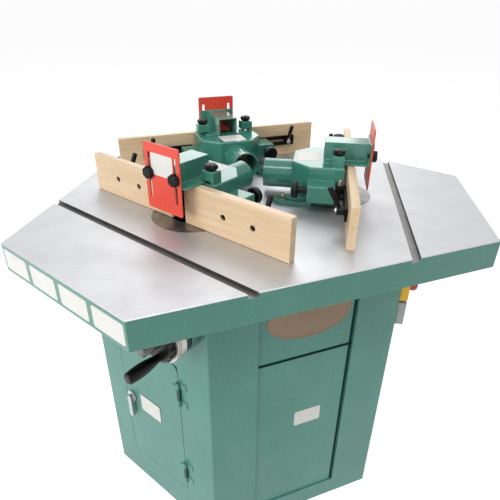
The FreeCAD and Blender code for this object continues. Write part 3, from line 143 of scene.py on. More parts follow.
def face_places(node):
    """Middle and direction of every face of a CAD node, as whole arrays in the frame."""
    polygons = NODES[node].data.polygons
    middle = np.empty(len(polygons) * 3)
    direction = np.empty(len(polygons) * 3)
    polygons.foreach_get("center", middle)
    polygons.foreach_get("normal", direction)
    return middle.reshape(-1, 3), direction.reshape(-1, 3)


def face_middles(node, station):
    """Middles of a CAD node's faces in a station's axes, as arrays of x, y and z."""
    middle, _ = face_places(node)
    return to_station(station, middle).T


def on_each_side(node, station):
    """Middle of the box round a node's corners on each side of the station: outfeed, then infeed."""
    corners = NODES[node].data.vertices
    places = np.empty(len(corners) * 3)
    corners.foreach_get("co", places)
    places = to_station(station, places.reshape(-1, 3))
    halves = (places[places[:, 0] > 0], places[places[:, 0] < 0])
    return [(half.min(axis=0) + half.max(axis=0)) / 2 for half in halves]


def dress(node, *finishes, by=None):
    """Give a CAD node its finishes; by holds one finish number per face where there are several."""
    mesh = NODES[node].data
    mesh.materials.clear()
    for finish in finishes:
        mesh.materials.append(finish)
    numbers = np.zeros(len(mesh.polygons)) if by is None else by
    mesh.polygons.foreach_set("material_index", numbers.astype(np.int32))


def linear(colour):
    """sRGB hex to linear red, green, blue and a full alpha."""
    channels = np.array([int(colour[start:start + 2], 16) for start in (0, 2, 4)]) / 255
    toe = channels / 12.92
    curve = ((channels + 0.055) / 1.055) ** 2.4
    return (*np.where(channels <= 0.04045, toe, curve).tolist(), 1.0)


def add(tree, kind, sockets=None, **settings):
    """Add a node with its settings; each named socket takes a value, or a link from the output given."""
    made = tree.nodes.new("ShaderNode" + kind)
    for name, value in settings.items():
        setattr(made, name, value)
    for key, value in (sockets or {}).items():
        if isinstance(value, bpy.types.NodeSocket):
            tree.links.new(value, made.inputs[key])
        else:
            made.inputs[key].default_value = value
    return made


# Sockets of the Mix node for colours, which share their names with its other kinds.
MIX_BY, MIX_FROM, MIX_TO, MIX_OUT = 0, 6, 7, 2
WHITE = linear("ffffff")
# Plastics, enamel and lacquer bend light alike.
RESIN_IOR = 1.5


def per(size_mm):
    """Scale of a pattern whose features are this many millimetres apart."""
    return 1 / (size_mm * MM)


def begin(name):
    """An empty node material and the coordinates of the piece it is on."""
    made = bpy.data.materials.new(name)
    made.use_nodes = True
    tree = made.node_tree
    tree.nodes.clear()
    return made, tree, add(tree, "TexCoord").outputs["Object"]


def close(tree, sockets):
    """Put a surface with these sockets on the material."""
    shader = add(tree, "BsdfPrincipled", sockets)
    add(tree, "OutputMaterial", {"Surface": shader.outputs["BSDF"]})


def rounded_edges(tree, radius_mm):
    """Normal that runs round the edges, and how far it leans off the flat: 0 on flats, 1 on an edge."""
    soft = add(tree, "Bevel", {"Radius": radius_mm * MM}, samples=6).outputs["Normal"]
    flat = add(tree, "NewGeometry").outputs["Normal"]
    lean = add(tree, "VectorMath", {0: soft, 1: flat}, operation="DOT_PRODUCT").outputs["Value"]
    edge = add(tree, "MapRange", {"Value": lean, "From Min": 0.99, "From Max": 0.80}).outputs["Result"]
    return soft, edge


def seen_directly(tree):
    """1 where the camera, a mirror or glass looks at the surface, and 0 for light that bounces off it."""
    path = add(tree, "LightPath").outputs
    seen = path["Is Camera Ray"]
    for kind in ("Is Glossy Ray", "Is Transmission Ray"):
        seen = add(tree, "Math", {0: seen, 1: path[kind]}, operation="MAXIMUM").outputs["Value"]
    return seen


def enamel(name, deep, pale, worn, peel_mm, peel_depth, roughness, edge_mm=1.5):
    """Sprayed and baked enamel: a little cloudy, orange peel in its gloss, rubbed thin at edges."""
    cloud_mm, chip_mm = 140, 9
    made, tree, place = begin(name)
    cloud = add(tree, "TexNoise", {"Vector": place, "Scale": per(cloud_mm), "Detail": 3.0}).outputs["Fac"]
    peel = add(tree, "TexNoise", {"Vector": place, "Scale": per(peel_mm), "Detail": 2.0}).outputs["Fac"]
    depth = add(tree, "Math", {0: cloud, 1: peel}, operation="ADD").outputs["Value"]
    tone = add(tree, "MapRange", {"Value": depth, "From Min": 0.7, "From Max": 1.3}).outputs["Result"]
    body = add(tree, "Mix", {MIX_BY: tone, MIX_FROM: linear(deep), MIX_TO: linear(pale)},
               data_type="RGBA").outputs[MIX_OUT]
    soft, edge = rounded_edges(tree, edge_mm)
    chips = add(tree, "TexNoise", {"Vector": place, "Scale": per(chip_mm), "Detail": 4.0}).outputs["Fac"]
    rubbed = add(tree, "MapRange", {"Value": chips, "From Min": 0.42, "From Max": 0.72}).outputs["Result"]
    thin = add(tree, "Math", {0: edge, 1: rubbed}, operation="MULTIPLY").outputs["Value"]
    colour = add(tree, "Mix", {MIX_BY: thin, MIX_FROM: body, MIX_TO: linear(worn)}, data_type="RGBA")
    bump = add(tree, "Bump", {"Strength": 1.0, "Distance": peel_depth * MM, "Height": peel, "Normal": soft})
    gloss = add(tree, "MapRange", {"Value": chips, "To Min": roughness - 0.05, "To Max": roughness + 0.08})
    close(tree, {"Base Color": colour.outputs[MIX_OUT], "Roughness": gloss.outputs["Result"],
                 "Normal": bump.outputs["Normal"], "IOR": RESIN_IOR})
    return made


def bare_metal(name, deep, pale, roughness, grit_mm, stretch=(1, 1, 1), scratch=0.02):
    """Bare metal: its own reflections, grey clouds in them, and cutting marks as fine as the grit."""
    cloud_mm, edge_mm = 70, 0.8
    made, tree, place = begin(name)
    cloud = add(tree, "TexNoise", {"Vector": place, "Scale": per(cloud_mm), "Detail": 5.0}).outputs["Fac"]
    spread = add(tree, "Mapping", {"Vector": place, "Scale": stretch}).outputs["Vector"]
    marks = add(tree, "TexNoise", {"Vector": spread, "Scale": per(grit_mm), "Detail": 3.0}).outputs["Fac"]
    both = add(tree, "Math", {0: cloud, 1: marks}, operation="ADD").outputs["Value"]
    tone = add(tree, "MapRange", {"Value": both, "From Min": 0.6, "From Max": 1.4}).outputs["Result"]
    colour = add(tree, "Mix", {MIX_BY: tone, MIX_FROM: linear(deep), MIX_TO: linear(pale)},
                 data_type="RGBA")
    soft, _ = rounded_edges(tree, edge_mm)
    bump = add(tree, "Bump", {"Strength": 1.0, "Distance": scratch * MM, "Height": marks, "Normal": soft})
    gloss = add(tree, "MapRange", {"Value": tone, "To Min": roughness + 0.08, "To Max": roughness - 0.05})
    close(tree, {"Base Color": colour.outputs[MIX_OUT], "Metallic": 1.0,
                 "Roughness": gloss.outputs["Result"], "Normal": bump.outputs["Normal"]})
    return made


def moulded(name, deep, pale, roughness, grain_mm, grain_depth, ior=RESIN_IOR):
    """Moulded plastic or rubber: one colour through and through, the mould's grain, softened corners."""
    cloud_mm, edge_mm = 35, 1.0
    made, tree, place = begin(name)
    cloud = add(tree, "TexNoise", {"Vector": place, "Scale": per(cloud_mm), "Detail": 3.0}).outputs["Fac"]
    grain = add(tree, "TexNoise", {"Vector": place, "Scale": per(grain_mm), "Detail": 2.0}).outputs["Fac"]
    soft, edge = rounded_edges(tree, edge_mm)
    handled = add(tree, "Math", {0: edge, 1: cloud}, operation="MAXIMUM").outputs["Value"]
    colour = add(tree, "Mix", {MIX_BY: handled, MIX_FROM: linear(deep), MIX_TO: linear(pale)},
                 data_type="RGBA")
    bump = add(tree, "Bump", {"Strength": 1.0, "Distance": grain_depth * MM, "Height": grain,
                              "Normal": soft})
    gloss = add(tree, "MapRange", {"Value": cloud, "To Min": roughness - 0.06, "To Max": roughness + 0.06})
    close(tree, {"Base Color": colour.outputs[MIX_OUT], "Roughness": gloss.outputs["Result"],
                 "Normal": bump.outputs["Normal"], "IOR": ior})
    return made


def planed_maple(station):
    """Maple planed and clear lacquered: straight grain along the board, small dark pores, pale edges."""
    late_wood, early_wood = linear("ccb08c"), linear("d6be9e")
    pore_wood, edge_wood = linear("c49c70"), linear("ecd9bd")
    band_mm, line_mm, pore_mm, edge_mm, relief_mm = 22, 4.5, 1.4, 1.2, 0.05
    grain_stretch, pore_stretch = (0.05, 1.0, 1.0), (0.12, 1.0, 1.0)
    made, tree, place = begin(f"planed_maple_{station}")
    turn = math.radians(-STATION_TURN[station])
    along = add(tree, "Mapping", {"Vector": place, "Rotation": (0.0, 0.0, turn)}).outputs["Vector"]
    rings = add(tree, "Mapping", {"Vector": along, "Scale": grain_stretch}).outputs["Vector"]
    bands = add(tree, "TexNoise", {"Vector": rings, "Scale": per(band_mm), "Detail": 4.0,
                                   "Distortion": 0.6}).outputs["Fac"]
    lines = add(tree, "TexNoise", {"Vector": rings, "Scale": per(line_mm), "Detail": 3.0}).outputs["Fac"]
    growth = add(tree, "Math", {0: bands, 1: lines}, operation="MULTIPLY").outputs["Value"]
    season = add(tree, "MapRange", {"Value": growth, "From Min": 0.17, "From Max": 0.36}).outputs["Result"]
    wood = add(tree, "Mix", {MIX_BY: season, MIX_FROM: late_wood, MIX_TO: early_wood},
               data_type="RGBA").outputs[MIX_OUT]
    flecks = add(tree, "Mapping", {"Vector": along, "Scale": pore_stretch}).outputs["Vector"]
    pores = add(tree, "TexNoise", {"Vector": flecks, "Scale": per(pore_mm), "Detail": 1.0}).outputs["Fac"]
    pore = add(tree, "MapRange", {"Value": pores, "From Min": 0.70, "From Max": 0.84}).outputs["Result"]
    speckled = add(tree, "Mix", {MIX_BY: pore, MIX_FROM: wood, MIX_TO: pore_wood},
                   data_type="RGBA").outputs[MIX_OUT]
    soft, edge = rounded_edges(tree, edge_mm)
    colour = add(tree, "Mix", {MIX_BY: edge, MIX_FROM: speckled, MIX_TO: edge_wood}, data_type="RGBA")
    bump = add(tree, "Bump", {"Strength": 1.0, "Distance": relief_mm * MM, "Height": season,
                              "Normal": soft})
    close(tree, {"Base Color": colour.outputs[MIX_OUT], "Roughness": 0.42,
                 "Normal": bump.outputs["Normal"], "IOR": RESIN_IOR})
    return made


def turned_iron_rings():
    """Cast iron faced on a lathe: dull grey-brown, with rings round each spindle drawn coarse to show."""
    ring_mm, ring_depth, stain_mm, edge_mm = 2.5, 0.06, 30, 1.0
    made, tree, place = begin("turned_cast_iron")
    middles = [from_station(station, np.array((0.0, SPINDLE_OUT, 0.0))) for station in STATION_TURN]
    reaches = [add(tree, "VectorMath", {0: place, 1: tuple(middle)}, operation="DISTANCE").outputs["Value"]
               for middle in middles]
    nearest = reaches[0]
    for reach in reaches[1:]:
        nearest = add(tree, "Math", {0: nearest, 1: reach}, operation="MINIMUM").outputs["Value"]
    phase = add(tree, "Math", {0: nearest, 1: 2 * math.pi * per(ring_mm)}, operation="MULTIPLY")
    groove = add(tree, "Math", {0: phase.outputs["Value"]}, operation="SINE").outputs["Value"]
    stain = add(tree, "TexNoise", {"Vector": place, "Scale": per(stain_mm), "Detail": 5.0}).outputs["Fac"]
    tone = add(tree, "MapRange", {"Value": stain, "From Min": 0.3, "From Max": 0.7}).outputs["Result"]
    colour = add(tree, "Mix", {MIX_BY: tone, MIX_FROM: linear("7b7875"), MIX_TO: linear("a09d9b")},
                 data_type="RGBA")
    soft, _ = rounded_edges(tree, edge_mm)
    bump = add(tree, "Bump", {"Strength": 0.5, "Distance": ring_depth * MM, "Height": groove,
                              "Normal": soft})
    close(tree, {"Base Color": colour.outputs[MIX_OUT], "Metallic": 1.0, "Roughness": 0.42,
                 "Normal": bump.outputs["Normal"]})
    return made


# Enamel on folded sheet: smooth satin with a shallow peel.
cabinet_enamel = enamel("baked_enamel_on_sheet_steel", "3b7a6e", "4a887a", "8fb3a8",
                        peel_mm=6, peel_depth=0.04, roughness=0.36)
# Gloss enamel over a sand-cast skin: the casting's pebbles stay in the shine and mottle the colour.
casting_enamel = enamel("gloss_enamel_on_cast_iron", "347567", "418372", "9cc0b5",
                        peel_mm=6, peel_depth=0.06, roughness=0.12, edge_mm=2.5)
# The hoods are bent from thin sheet and sprayed with the same gloss.
hood_enamel = enamel("gloss_enamel_on_bent_sheet", "397565", "4b8978", "9cc0b5",
                     peel_mm=6, peel_depth=0.03, roughness=0.15, edge_mm=3)
# Signal red gloss, slightly faded where hands and chips rub it.
guard_enamel = enamel("signal_red_enamel_on_sheet_steel", "d23b2a", "df4f3c", "f0a08f",
                      peel_mm=5, peel_depth=0.05, roughness=0.34)
# Stoving enamel on a motor's cast body: even grey with a coarse peel.
motor_enamel = enamel("grey_stoving_enamel_on_motor", "6a7171", "828989", "a9adab",
                      peel_mm=6, peel_depth=0.10, roughness=0.42)
# Satin black-green: the hinges' own colour, and painted shade on the crank bearings' necks, where the
# collar's shadow falls.
dark_hinge_enamel_and_neck_shade = enamel("dark_hinge_enamel_and_painted_neck_shade", "0f3a33", "16463d", "4f7f74",
                      peel_mm=5, peel_depth=0.04, roughness=0.40)

# Ground flat with a wide wheel: pale, cloudy reflections and faint straight marks.
ground_iron = bare_metal("ground_cast_iron", "babbbd", "cacbce", roughness=0.53, grit_mm=1.5,
                         stretch=(0.03, 1, 1), scratch=0.005)
# Machined and left: the crank noses' own dark oiled iron, and on the walls of the table's slots and wells a
# dark grey that is painted shade.
oiled_iron_and_recess_shade = bare_metal("milled_oiled_iron_and_painted_recess_shade", "5c5b59", "7a7875", roughness=0.48, grit_mm=2.5)
# Slot floors, which bars rub half bright.
rubbed_iron = bare_metal("milled_and_rubbed_iron", "7d7c7b", "959493", roughness=0.48, grit_mm=2.5)
# Insert rings: circles that catch the light round the spindle.
turned_ring = turned_iron_rings()
# Sand-cast iron left raw inside the machine: dark, coarse and dull.
raw_casting = bare_metal("raw_sand_cast_iron", "47464a", "5d5b5b", roughness=0.62, grit_mm=4,
                         scratch=0.15)
# Turned steel: bright, with fine marks round the shaft.
bright_steel = bare_metal("turned_bright_steel", "b4b3b1", "cfcecb", roughness=0.24, grit_mm=2,
                          stretch=(1, 1, 8))
# Zinc on small fasteners: pale and a little milky.
zinc_plate = bare_metal("zinc_plated_steel", "b9b9b2", "d2d2cb", roughness=0.30, grit_mm=3)
# Steel blackened in hot oil: nearly black, with a soft brown shine.
black_steel = bare_metal("blackened_steel", "1c1b1b", "2d2b2a", roughness=0.45, grit_mm=2.5)
# Polished chrome: clear reflections with hardly a mark.
chrome = bare_metal("polished_chrome", "a6a8ac", "b9bbbf", roughness=0.10, grit_mm=4, scratch=0.003)
# Aluminium cast and turned: warm pale grey, half dull.
cast_aluminium = bare_metal("turned_cast_aluminium", "a9a6a0", "c3c0ba", roughness=0.40, grit_mm=1.5)
# Bronze sheet brushed along its length: brown, with a streaky sheen.
bronze_plate = bare_metal("brushed_bronze_sheet", "6c5d4e", "776757", roughness=0.36, grit_mm=0.7,
                          stretch=(0.02, 1, 1), scratch=0.01)

# Phenolic from a polished mould: deep black with soft lights on its rounded edges.
black_phenolic = moulded("moulded_black_phenolic", "080809", "111112", roughness=0.36,
                         grain_mm=2, grain_depth=0.02, ior=1.3)
# Painted gap shade: a dark green-black with no shine, standing for the shade in the gaps beside and between
# the panels.
painted_gap_shade = moulded("dark_painted_gap_shade", "06251e", "0c3229", roughness=0.80,
                       grain_mm=1.5, grain_depth=0.05, ior=1.15)
# Belt rubber: dull black with a dusty bloom.
black_rubber = moulded("moulded_belt_rubber", "131313", "242322", roughness=0.75,
                       grain_mm=2, grain_depth=0.05, ior=1.52)
# Switch boxes of ABS: even colour with a fine grain from the mould.
yellow_abs = moulded("moulded_yellow_abs", "dba514", "e9b92f", roughness=0.42,
                     grain_mm=1.5, grain_depth=0.03)
grey_abs = moulded("moulded_grey_abs", "8b8f8f", "a3a7a6", roughness=0.46,
                   grain_mm=1.5, grain_depth=0.03)
# Mushroom buttons: the same plastic, smoother from use.
red_abs = moulded("moulded_red_abs", "b5121a", "cf2a2c", roughness=0.30, grain_mm=2, grain_depth=0.02)
# Bare label film: even off-white with a soft satin.
blank_film = moulded("blank_satin_film", "cfcdc8", "dbdad6", roughness=0.50,
                     grain_mm=3, grain_depth=0.01)

# One maple for each station, so that the grain follows its boards.
maple = {station: planed_maple(station) for station in STATION_TURN}

# The table: painted outside, ground over the top, painted shade on the walls of slots and wells, rubbed
# slot floors.
GROUND, PAINTED, RECESS_SHADE, RUBBED = range(4)
GROUND_BAND = 3.0
SLOT_OUT = 396.0
SLOT_REACH = 11.0
SLOT_DEEP = 12.0
WELL_REACH = 104.0
# A face whose direction rises by more than this looks up.
LOOKS_UP = 0.5
middle, direction = face_places("cast_table")
height = (middle[:, 2] - TABLE_TOP) / MM
in_station = [to_station(station, middle) for station in STATION_TURN]
in_slot = np.any([np.abs(place[:, 1] - SLOT_OUT) < SLOT_REACH for place in in_station], axis=0)
near_spindle = np.min([np.hypot(place[:, 0], place[:, 1] - SPINDLE_OUT) for place in in_station], axis=0)
below_top = height < -SKIN
slot_faces = below_top & (height > -SLOT_DEEP) & in_slot & (near_spindle > WELL_REACH)
table_finish = np.where(height > -GROUND_BAND, GROUND, PAINTED)
# Dark iron on the slot walls and the well walls is painted shade.
table_finish[slot_faces] = np.where(direction[slot_faces, 2] > LOOKS_UP, RUBBED, RECESS_SHADE)
table_finish[below_top & (near_spindle < WELL_REACH)] = RECESS_SHADE
dress("cast_table", ground_iron, casting_enamel, oiled_iron_and_recess_shade, rubbed_iron, by=table_finish)

# Stop boxes stand above this height and starters below it.
BOX_SPLIT = -192.5
_, _, height = face_middles("control_boxes", "rear")
dress("control_boxes", yellow_abs, grey_abs, by=height < BOX_SPLIT)

# Crank bearings: the boss against the cabinet is painted, its neck darker as painted shade under the
# collar, the collar outside it bare.
BOSS_END = 429.8
NECK_END = 446.8
outward = np.max([face_middles("crank_bearings", station)[1] for station in STATION_TURN], axis=0)
dress("crank_bearings", cabinet_enamel, dark_hinge_enamel_and_neck_shade, cast_aluminium,
      by=np.digitize(outward, (BOSS_END, NECK_END)))

# The door and its hinge barrels.
HINGE_ACROSS, HINGE_OUT = -108.66, 411.0
HINGE_REACH = 8.0
x, y, _ = face_middles("cabinet_door", "left")
dress("cabinet_door", cabinet_enamel, dark_hinge_enamel_and_neck_shade,
      by=np.hypot(x - HINGE_ACROSS, y - HINGE_OUT) < HINGE_REACH)

# Nodes with one finish all over: those of the cabinet and table, of a station, and of a station's side.
BASE_FINISH = {"cabinet": cabinet_enamel, "door_latch": chrome, "insert_rings": turned_ring,
               "lift_guides": raw_casting, "hold_down_bolts": zinc_plate}
STATION_FINISH = {"spindle": bright_steel, "fence_housing": casting_enamel, "guard_hood": hood_enamel,
                  "guard_plate": guard_enamel, "hood_knobs": black_phenolic,
                  "guard_knobs": black_phenolic, "stop_button": red_abs}
SIDE_FINISH = {"slide": black_steel, "adjuster": black_phenolic}
for node, finish in BASE_FINISH.items():
    dress(node, finish)
for station in STATION_TURN:
    for part, finish in STATION_FINISH.items():
        dress(f"{station}_{part}", finish)
    for side in SIDES:
        for part, finish in SIDE_FINISH.items():
            dress(f"{station}_{side}_{part}", finish)

# The lift: quill, plate and pulleys of steel, grey motor, black belt.
STEEL, MOTOR, BELT = range(3)
PLATE_TOP = -261.0
PULLEY_TOP = -297.0
MOTOR_OUT = 88.0
MOTOR_REACH = 68.0
MOTOR_PULLEY = 50.2
# The crank: black disc and grip, bare nose and shaft.
NOSE_REACH = 14.4
# The boards: black bolt heads in wooden counterbores, and black nuts behind.
HOLES_BETWEEN = sum(BOARD_HOLES) / 2
HOLE_REACH = 8.0
# The clamp levers: black, with a bare end face on the hub.
LEVER_HUB = 10.4
for station in STATION_TURN:
    x, y, z = face_middles(f"{station}_spindle_lift", station)
    from_motor = np.hypot(x, y - MOTOR_OUT)
    lift_finish = np.full(len(x), STEEL)
    lift_finish[(z > PLATE_TOP + SKIN) & (from_motor < MOTOR_REACH)] = MOTOR
    lift_finish[(z < PULLEY_TOP) & (from_motor > MOTOR_PULLEY)] = BELT
    dress(f"{station}_spindle_lift", bright_steel, motor_enamel, black_rubber, by=lift_finish)
    x, y, z = face_middles(f"{station}_crank", station)
    on_nose = (y > DISC_END) & (np.hypot(x - CRANK_ACROSS, z - CRANK_HEIGHT) < NOSE_REACH)
    dress(f"{station}_crank", black_phenolic, oiled_iron_and_recess_shade, by=on_nose | (y < DISC_START))
    for side in SIDES:
        middle, direction = face_places(f"{station}_{side}_board")
        x, y, z = to_station(station, middle).T
        lean_x, _, lean_z = station_axes(station) @ direction.T
        beside = x - np.copysign(np.where(np.abs(x) < HOLES_BETWEEN, *BOARD_HOLES), x)
        above = z - FENCE_AXIS
        in_hole = (np.hypot(beside, above) < HOLE_REACH) & (y < BOARD_FACE - SKIN)
        wooden_wall = beside * lean_x + above * lean_z < -SKIN
        dress(f"{station}_{side}_board", maple[station], black_steel, by=in_hole & ~wooden_wall)
        x, y, z = face_middles(f"{station}_{side}_lever", station)
        on_hub = np.hypot(np.abs(x) - BOARD_HOLES[1], z - FENCE_AXIS) < LEVER_HUB
        dress(f"{station}_{side}_lever", black_phenolic, zinc_plate, by=on_hub & (y < STUD_FACE + SKIN))

# Star caps over the knobs: five soft lobes and a dished crown on hoods, seven thinner lobes on guards.
HOOD_CAP = ((8.5, 0.0, -11.3), (11.8, 1.0, -11.3), (13.2, 2.0, -9.8), (13.8, 2.4, -6.5),
            (13.2, 2.1, -3.0), (11.0, 1.2, -0.2), (7.5, 0.4, 1.4), (5.0, 0.0, 1.6),
            (4.2, 0.0, 0.9), (3.0, 0.0, 0.9))
GUARD_CAP = ((7.5, 0.0, -10.6), (12.4, 0.5, -10.6), (13.6, 0.9, -9.0), (13.8, 1.0, -5.0),
             (13.2, 0.8, -1.0), (11.6, 0.4, 0.5), (9.4, 0.0, 0.7), (7.6, 0.0, -0.2),
             (6.0, 0.0, 0.3), (4.4, 0.0, 0.6))
# Fine ribs round the rim of each adjuster dial.
DIAL_RIM = ((19.2, 0.0, 1.4), (20.0, 0.35, 2.4), (20.3, 0.45, 4.0), (20.3, 0.45, 11.0),
            (20.0, 0.35, 12.6), (19.2, 0.0, 13.6))
# Finger lobes round the crank's disc.
CRANK_RIM = ((45.0, 0.0, 0.6), (48.0, 1.2, 0.8), (49.4, 1.9, 2.6), (49.6, 2.0, 7.0),
             (49.4, 1.9, 11.4), (48.0, 1.2, 13.4), (45.0, 0.2, 14.3), (42.0, 0.0, 14.3))
# Six-sided nut with a rounded end that holds each clamp lever.
LEVER_NUT = ((4.6, 0.0, -0.3), (4.6, 0.22, 0.0), (4.6, 0.22, 2.6), (4.2, 0.1, 3.1), (2.6, 0.0, 3.2),
             (2.2, 0.0, 4.2), (1.2, 0.0, 4.5))
hood_cap = lobed(HOOD_CAP, lobes=5)
guard_cap = lobed(GUARD_CAP, lobes=7)
dial_rim = lobed(DIAL_RIM, lobes=28, around_lobe=6)
crank_rim = lobed(CRANK_RIM, lobes=16)
lever_nut = lobed(LEVER_NUT, lobes=6)
for station in STATION_TURN:
    knob_top = (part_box(f"{station}_hood_knobs")[1].z - TABLE_TOP) / MM
    caps = [set_on(hood_cap, station, (x, y, knob_top), FACING_UP)
            for x, y, _ in on_each_side(f"{station}_hood_knobs", station)]
    add_piece(f"{station}_hood_knob_caps", caps, black_phenolic, f"{station}_fence")
    caps = [set_on(guard_cap, station, (x, KNOB_FACE, z), FACING_OUT)
            for x, _, z in on_each_side(f"{station}_guard_knobs", station)]
    add_piece(f"{station}_guard_knob_caps", caps, black_phenolic, f"{station}_hood")
    rim = set_on(crank_rim, station, (CRANK_ACROSS, DISC_START, CRANK_HEIGHT), FACING_OUT)
    add_piece(f"{station}_crank_rim", [rim], black_phenolic, f"{station}_crank_handle")
    for side in SIDES:
        low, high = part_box(f"rear_{side}_adjuster")
        across = (low.x + high.x) / 2 / MM
        rim = set_on(dial_rim, station, (across, DIAL_REAR, FENCE_AXIS), FACING_OUT)
        add_piece(f"{station}_{side}_dial_rim", [rim], black_phenolic, f"{station}_{side}_dial")
        pivot = math.copysign(BOARD_HOLES[1], across)
        nut = set_on(lever_nut, station, (pivot, STUD_FACE, FENCE_AXIS), FACING_IN)
        add_piece(f"{station}_{side}_lever_nut", [nut], zinc_plate, f"{station}_{side}_handle")

# Thread on each spindle's nose: the radius swells and falls once per pitch, as rings and not a helix.
NOSE_LOW, NOSE_HIGH = 54.3, 61.3
THREAD_RADIUS = 14.85
THREAD_SWELL = 0.35
THREAD_PITCH = 2.0
THREAD_RINGS = 29
nose_rise = np.linspace(NOSE_LOW, NOSE_HIGH, THREAD_RINGS)
nose_radius = THREAD_RADIUS + THREAD_SWELL * np.cos(2 * np.pi * (nose_rise - NOSE_LOW) / THREAD_PITCH)
nose_steps = np.stack([nose_radius, np.zeros_like(nose_rise), nose_rise], axis=-1)
nose_thread = lobed(nose_steps, lobes=1, around_lobe=40)

# Powers of the superellipse: an oval, a lid with rounded corners, and nearly square corners.
OVAL = 2
ROUNDED_CORNERS = 7
SQUARE_CORNERS = 14

# Round-headed screws at the corners of both switch boxes, and a raised lid on the starter.
BOX_MIDDLE = 170.16
STARTER_HEIGHT = -228.5
SCREW_HALF = (3.2, 3.2)
SCREW_REACH = 28.0
SCREW_ACROSS = (BOX_MIDDLE - SCREW_REACH, BOX_MIDDLE + SCREW_REACH)
SCREW_HEIGHTS = (-127.0, -183.0, -202.0, -255.0)
SCREW_STEPS = ((0.0, -0.4), (0.0, 0.6), (0.6, 1.3), (1.7, 1.7), (2.0, 1.1))
LID_HALF = (21.0, 24.0)
LID_STEPS = ((0.0, -0.4), (0.0, 1.6), (0.8, 2.4), (3.0, 2.4), (3.6, 2.1))
box_screw = superellipse(*SCREW_HALF, OVAL, SCREW_STEPS, around=20)
starter_lid = superellipse(*LID_HALF, ROUNDED_CORNERS, LID_STEPS, around=96)
for station in STATION_TURN:
    thread = set_on(nose_thread, station, (0, SPINDLE_OUT, 0), FACING_UP)
    add_piece(f"{station}_spindle_thread", [thread], bright_steel, f"{station}_arbor")
    screws = [set_on(box_screw, station, (across, BOX_FACE, height), FACING_OUT)
              for across in SCREW_ACROSS for height in SCREW_HEIGHTS]
    add_piece(f"{station}_box_screws", screws, zinc_plate, "base")
    lid = set_on(starter_lid, station, (BOX_MIDDLE, BOX_FACE, STARTER_HEIGHT), FACING_OUT)
    add_piece(f"{station}_starter_lid", [lid], grey_abs, "base")

# Bare film: thin sheets with rounded corners and a pressed-down rim, whose flats stay flat.
FILM_STEPS = ((0.0, 0.02), (0.0, 0.12), (0.1, 0.2), (1.5, 0.2), (1.7, 0.16))
FLAT_CREASE = 6


def add_film(name, half, station, places, facing, body):
    """One sheet of film at each place: a superellipse of nearly square corners, flat but for its rim."""
    film = superellipse(*half, SQUARE_CORNERS, FILM_STEPS)
    sheets = [set_on(film, station, place, facing) for place in places]
    add_piece(name, sheets, blank_film, body, crease=FLAT_CREASE)


APRON_FILM_HALF = (46.0, 24.5)
APRON_FILM_HEIGHT = -35.5
APRON_FILM_PITCH = 106.0
APRON_FILMS = 4
film_across = (np.arange(APRON_FILMS) - (APRON_FILMS - 1) / 2) * APRON_FILM_PITCH
apron_places = [(across, APRON_FACE, APRON_FILM_HEIGHT) for across in film_across]
add_film("apron_blank_plates", APRON_FILM_HALF, "left", apron_places, FACING_OUT, "base")
GUARD_FILM_HALF = (34.5, 25.0)
GUARD_FILM_PLACE = (0.0, GUARD_FACE, 144.0)
add_film("guard_blank_plate", GUARD_FILM_HALF, "left", [GUARD_FILM_PLACE], FACING_OUT, "left_guard")
DECK_FILM_HALF = (35.0, 30.0)
DECK_FILM_PLACE = (0.0, 153.0, HOUSING_DECK)
for station in STATION_TURN:
    add_film(f"{station}_housing_blank_plate", DECK_FILM_HALF, station, [DECK_FILM_PLACE], FACING_UP,
             f"{station}_fence")
DOOR_FILM_HALF = (40.5, 30.0)
DOOR_FILM_PLACE = (20.5, 407.0, -532.0)
add_film("door_blank_plate", DOOR_FILM_HALF, "left", [DOOR_FILM_PLACE], FACING_OUT, "door")
PANEL_FILM_HALF = (38.0, 25.0)
PANEL_FILM_PLACE = (18.0, PANEL_FACE, -503.5)
add_film("front_panel_blank_plate", PANEL_FILM_HALF, "rear", [PANEL_FILM_PLACE], FACING_IN, "base")

# Oval badge of brushed bronze sheet on the front panel: a raised rim round a bare field.
BADGE_HALF = (108.0, 61.0)
BADGE_PLACE = (0.0, PANEL_FACE, -168.0)
BADGE_STEPS = ((0.0, 0.05), (0.0, 1.2), (0.8, 1.8), (3.0, 1.8), (3.8, 1.1), (5.0, 0.9))
badge = set_on(superellipse(*BADGE_HALF, OVAL, BADGE_STEPS, around=128), "rear", BADGE_PLACE, FACING_IN)
add_piece("front_panel_blank_badge", [badge], bronze_plate, "base", crease=FLAT_CREASE)

# Painted shade: dark strips along one edge of each pair of panels and over the joint between them, where
# the gaps lie in shade.
GAP_SHADE_STEPS = ((0.0, 0.05), (0.0, 1.0), (0.6, 1.8), (1.6, 2.0))
SIDE_GAP_SHADE_HALF = (3.0, 367.0)
SIDE_GAP_SHADE_PLACE = (120.0, PANEL_FACE, -454.0)
SPLIT_GAP_SHADE_HALF = (125.0, 3.2)
SPLIT_GAP_SHADE_PLACE = (0.0, PANEL_FACE, -286.0)
side_gap_shade = superellipse(*SIDE_GAP_SHADE_HALF, SQUARE_CORNERS, GAP_SHADE_STEPS)
split_gap_shade = superellipse(*SPLIT_GAP_SHADE_HALF, SQUARE_CORNERS, GAP_SHADE_STEPS)
for station in STATION_TURN:
    gap_shade_strips = [set_on(side_gap_shade, station, SIDE_GAP_SHADE_PLACE, FACING_IN),
             set_on(split_gap_shade, station, SPLIT_GAP_SHADE_PLACE, FACING_IN)]
    add_piece(f"{station}_panel_gap_shade_strips", gap_shade_strips, painted_gap_shade, "base")

